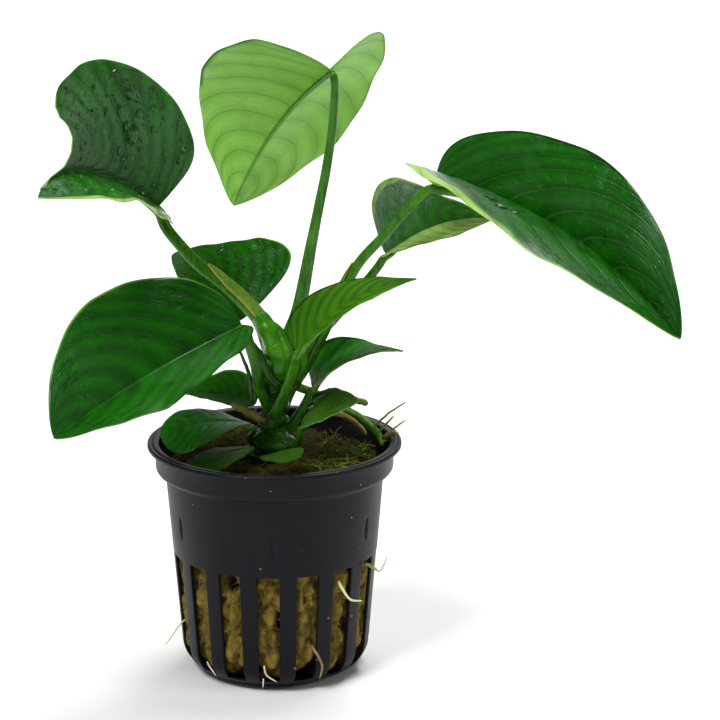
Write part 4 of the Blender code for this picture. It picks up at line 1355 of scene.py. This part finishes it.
@dataclass
class Fibres:
    """Many short bent strands scattered on a surface and joined into one piece."""

    name: str
    count: int
    length: Pair
    thickness: float
    finish: FibreFinish
    spot: Callable[[random.Random], tuple[Vector, Vector]]
    seed: int
    lift: float = 0.35

    def build(self) -> None:
        """Bend a few strands and lay copies of them."""
        chance = random.Random(self.seed)
        patterns = [self.strand(chance) for _ in range(6)]
        bm = bmesh.new()
        for _ in range(self.count):
            place, up = self.spot(chance)
            first = len(bm.verts)
            bm.from_mesh(chance.choice(patterns))
            bm.verts.ensure_lookup_table()
            turn = Matrix.Rotation(chance.uniform(0, math.tau), 4, "Z")
            lean = Matrix.Rotation(chance.uniform(0, self.lift), 4, "Y")
            lay = up.to_track_quat("Z", "X").to_matrix().to_4x4()
            size = Matrix.Scale(chance.uniform(*self.length), 4)
            moved = Matrix.Translation(place) @ lay @ turn @ lean @ size
            bmesh.ops.transform(bm, matrix=moved, verts=bm.verts[first:])
        for mesh in patterns:
            bpy.data.meshes.remove(mesh)
        place_piece(bm, self.name, self.finish.material())

    def strand(self, chance: random.Random) -> bpy.types.Mesh:
        """One bent strand of unit length along +X."""
        mean = sum(self.length) / 2
        points = [(share - 0.5, chance.uniform(-0.16, 0.16), chance.uniform(-0.02, 0.12))
                  for share in (0, 0.33, 0.66, 1)]
        bm = bmesh.new()
        sweep_tube(bm, smooth_path(points, 0.2), 3,
                   lambda share, _: self.thickness / mean * (1.1 - share))
        mesh = bpy.data.meshes.new("strand")
        bm.to_mesh(mesh)
        bm.free()
        return mesh


def turf_spot(chance: random.Random) -> tuple[Vector, Vector]:
    """A place and upward direction on the wool's top."""
    radius = 22.3 * math.sqrt(chance.random())
    turn = chance.uniform(0, math.tau)
    height = 47.7 - TURF_DROP * turf_edge(radius) ** 2 + chance.uniform(-0.4, 0.5)
    lean = Vector((chance.uniform(-0.3, 0.3), chance.uniform(-0.3, 0.3), 1.0))
    return Vector((radius * math.cos(turn), radius * math.sin(turn), height)), lean


def moss_spot(chance: random.Random) -> tuple[Vector, Vector]:
    """A place on the wool's mossy right front."""
    widest = 21.5
    place = Vector((chance.gauss(15.0, 4.0), chance.gauss(-6.0, 6.0), 48.5))
    reach = math.hypot(place.x, place.y)
    if reach > widest:
        place *= widest / reach
        place.z = 47.2
    lean = Vector((chance.uniform(-0.4, 0.4), chance.uniform(-0.4, 0.4), 1.0))
    return place, lean


def slot_spot(chance: random.Random) -> tuple[Vector, Vector]:
    """A place on the wool just inside a slot."""
    pot = NetPot()
    tooth = chance.randrange(pot.slots)
    off = chance.uniform(-0.38, 0.38) * pot.slot_angle
    turn = math.radians(pot.slot_phase + 360 / pot.slots * tooth + off)
    height = chance.uniform(7.0, pot.slot_top - 1.5)
    radius = pot.wall_radius(height, pot.wall) - chance.uniform(0.1, 1.0)
    out = Vector((math.sin(turn), -math.cos(turn), 0.0))
    return out * radius + Vector((0, 0, height)), out


# Each wide drop: share along the blade, share across it, radius and stretch down the slope.
WIDE_DROPS_A: tuple[tuple[float, float, float, float], ...] = (
    (0.614, 0.824, 0.7, 1.0), (0.521, 0.836, 1.0, 1.1), (0.491, 0.786, 1.5, 1.2),
    (0.454, 0.774, 1.0, 1.2), (0.396, 0.899, 0.8, 1.8), (0.366, 0.786, 0.9, 1.1),
    (0.431, 0.66, 0.9, 1.1), (0.392, 0.66, 0.5, 1.2), (0.647, 0.547, 0.55, 2.2),
    (0.548, 0.597, 0.7, 1.9), (0.459, 0.459, 1.5, 1.5), (0.505, 0.497, 0.9, 1.6),
    (0.632, 0.371, 0.5, 2.6), (0.534, 0.27, 0.5, 2.4), (0.387, 0.61, 0.45, 1.2),
    (0.341, 0.9, 0.45, 1.3), (0.324, 0.862, 0.6, 1.1), (0.574, 0.9, 0.9, 1.0),
    (0.631, 0.686, 0.5, 1.0), (0.751, 0.447, 0.4, 1.2), (0.393, 0.824, 0.4, 1.2),
    (0.39, 0.9, 0.6, 1.5), (0.239, 0.9, 0.5, 1.6), (0.386, 0.472, 0.4, 1.3),
    (0.483, 0.22, 0.6, 1.5), (0.33, 0.635, 0.7, 1.2),
)

WIDE_DROPS_C: tuple[tuple[float, float, float, float], ...] = (
    (0.395, 0.66, 1.0, 1.5), (0.444, 0.673, 0.8, 1.9), (0.161, -0.03, 0.8, 1.6),
    (0.127, -0.157, 0.6, 1.5), (0.478, 0.623, 0.7, 1.7), (0.634, -0.296, 0.4, 1.0),
    (0.629, -0.107, 0.4, 1.0), (0.712, -0.157, 0.35, 1.0), (0.815, -0.069, 0.4, 1.0),
    (0.815, -0.585, 0.4, 1.2), (0.815, -0.736, 0.3, 1.0),
)


@dataclass
class Drops:
    """Water drops that stand on the upper face of a blade."""

    name: str
    leaf: Leaf
    count: int
    sizes: Pair
    along: Pair
    across: Pair
    seed: int
    height: float = 0.6
    flat: float = 0.85
    large: tuple[tuple[float, float, float, float], ...] = ()

    def build(self, material: bpy.types.Material) -> None:
        """Press small domes onto the blade."""
        chance = random.Random(self.seed)
        smallest, largest = self.sizes
        spots = list(self.large)
        for _ in range(self.count):
            size = smallest + (largest - smallest) * chance.random() ** 3
            spots.append((chance.uniform(*self.along), chance.uniform(*self.across), size,
                          1.0 + 0.5 * chance.random()))
        blade = self.leaf.blade
        fall = Vector((0, 0, -1))
        bm = bmesh.new()
        for along, across, size, stretch in spots:
            pair = np.array([along]), np.array([across])
            up = Vector(blade.normals(*pair)[0])
            rise = blade.waves(*pair, self.leaf.finish, blade.length)[0] + 0.2
            place = Vector(blade.surface(*pair)[0]) + up * float(rise)
            down = (fall - up * fall.dot(up)).normalized()
            turned = Matrix((down, up.cross(down), up)).transposed().to_4x4()
            turned.translation = place
            scale = Matrix.Diagonal((size * stretch, size, size * self.height, 1.0))
            made = bmesh.ops.create_icosphere(bm, subdivisions=2 if size < 0.7 else 3,
                                              radius=1.0, matrix=turned @ scale)
            for vert in made["verts"]:
                depth = (vert.co - place).dot(up)
                if depth < 0:
                    vert.co -= up * depth * self.flat
        place_piece(bm, self.name, material)


@dataclass(frozen=True)
class Lamp:
    """Square soft light; its place and size are in metres and its power in watts."""

    name: str
    place: Point
    size: float
    power: float

    def build(self, aim: Vector) -> None:
        """Hang the light so that it faces a point."""
        data = bpy.data.lights.new(self.name, "AREA")
        data.shape = "SQUARE"
        data.size = self.size
        data.energy = self.power
        lamp = bpy.data.objects.new(self.name, data)
        lamp.location = self.place
        turned = (aim - Vector(self.place)).to_track_quat("-Z", "Y")
        lamp.rotation_euler = turned.to_euler()
        bpy.context.scene.collection.objects.link(lamp)


@dataclass
class Studio:
    """Pale floor, soft lights and the camera."""

    target: Point = (18.5, 0.0, 68.9)
    distance: float = 650.0
    elevation: float = 15.2
    lens: float = 151.2
    sensor: float = 36.0
    floor_half: float = 6.0
    floor_drop: float = 0.0002
    room_light: float = 0.1
    lamps: tuple[Lamp, ...] = (
        Lamp("key", (-1.35, -1.65, 3.0), 1.35, 105.0),
        Lamp("top", (0.75, 1.05, 3.6), 1.8, 125.0),
        Lamp("side", (2.85, -0.75, 1.35), 0.8, 17.0),
        Lamp("backdrop", (0.2, 2.6, 0.75), 1.6, 9.0),
        Lamp("left", (-2.6, -0.1, 0.45), 1.1, 5.0))

    def build(self) -> None:
        """Set up the floor, the world, the lights and the camera."""
        self.lay_floor()
        world = bpy.data.worlds.new("soft_room")
        world.use_nodes = True
        shade = world.node_tree.nodes["Background"]
        shade.inputs["Color"].default_value = linear("FFFFFF")
        shade.inputs["Strength"].default_value = self.room_light
        bpy.context.scene.world = world
        middle = Vector(self.target) * MM
        for lamp in self.lamps:
            lamp.build(middle)
        self.set_camera(middle)
        bpy.context.scene.view_settings.view_transform = "Standard"

    def lay_floor(self) -> None:
        """Lay matt white paper just under the part."""
        bm = bmesh.new()
        bmesh.ops.create_grid(bm, x_segments=1, y_segments=1, size=self.floor_half)
        mesh = bpy.data.meshes.new("floor")
        bm.to_mesh(mesh)
        bm.free()
        floor = bpy.data.objects.new("floor", mesh)
        floor.location.z = -self.floor_drop
        paper = Skin("matt_white_paper", Base_Color=linear("F4F4F4"), Roughness=0.9)
        mesh.materials.append(paper.material)
        bpy.context.scene.collection.objects.link(floor)

    def set_camera(self, middle: Vector) -> None:
        """Stand the camera in front of the part and aim it."""
        camera = bpy.data.cameras.new("camera")
        camera.lens = self.lens
        camera.sensor_width = self.sensor
        camera.clip_start = 0.01
        camera.clip_end = 50.0
        eye = bpy.data.objects.new("camera", camera)
        lift = math.radians(self.elevation)
        back = Vector((0.0, -math.cos(lift), math.sin(lift)))
        eye.location = middle + back * self.distance * MM
        eye.rotation_euler = (-back).to_track_quat("-Z", "Y").to_euler()
        bpy.context.scene.collection.objects.link(eye)
        bpy.context.scene.camera = eye


SHEATHS = [
    Sheath("sheath_A", ((-2.2, -0.6, 76.6), (-6.4, 1.0, 81.2), (-10.9, 2.5, 85.1),
                        (-14.8, 3.7, 88.0)), (2.25, 1.5), (0.6, -0.4, 0.7), wrap=60.0,
           skin=StalkFinish("dry_edged_sheath", dark="2C660C", light="86A03C",
                            scar="A89452", scars=0.5), brown_from=0.7),
    Sheath("sheath_C", ((6.3, 3.6, 66.0), (10.3, 4.2, 73.4), (15.3, 4.2, 84.0),
                        (18.0, 3.5, 89.0)), (1.6, 1.2), (-0.8, -0.2, 0.6), wrap=50.0,
           skin=StalkFinish("yellowing_sheath", dark="2C660C", light="6F8E30",
                            scar="8A7430", scars=0.3)),
]

GREEN_MOSS = FibreFinish("green_moss_strands", "2E4E04", "76861A", 0.4)

FIBRES = [
    Fibres("turf_strands", 900, (2.0, 5.5), 0.1,
           FibreFinish("brown_moss_strands", "40380A", "74661C", 0.5), turf_spot, 3),
    Fibres("moss_strands", 110, (1.5, 4.5), 0.1, GREEN_MOSS, moss_spot, 5, lift=0.5),
    Fibres("long_moss_strands", 16, (6.0, 11.0), 0.2, GREEN_MOSS, moss_spot, 9, lift=0.4),
    Fibres("slot_strands", 500, (1.2, 3.2), 0.06,
           FibreFinish("khaki_wool_strands", "6E5C2E", "B3A268", 0.6), slot_spot, 11,
           lift=0.25),
]


def main() -> None:
    """Build every piece in order."""
    logging.basicConfig(level=logging.INFO, format="%(name)s %(message)s")
    noise.seed_set(NOISE_SEED)
    Studio().build()
    pot = NetPot()
    pot.build()
    WoolPlug(pot).build()
    Rhizome().build()
    for part in (*LEAVES, *ROOTS, *SHEATHS, *FIBRES):
        part.build()
    water = WaterFinish().material()
    leaves = {leaf.letter: leaf for leaf in LEAVES}
    Drops("drops_A", leaves["A"], 300, (0.18, 0.6), (0.08, 0.97), (-0.8, 0.88), 4,
          large=WIDE_DROPS_A).build(water)
    Drops("drops_C", leaves["C"], 24, (0.15, 0.4), (0.3, 0.95), (-0.8, 0.5), 6,
          large=WIDE_DROPS_C).build(water)
    Drops("drops_H", leaves["H"], 60, (0.15, 0.5), (0.1, 0.9), (-0.8, 0.8), 8).build(water)
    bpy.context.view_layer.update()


if __name__ == "__main__":
    main()
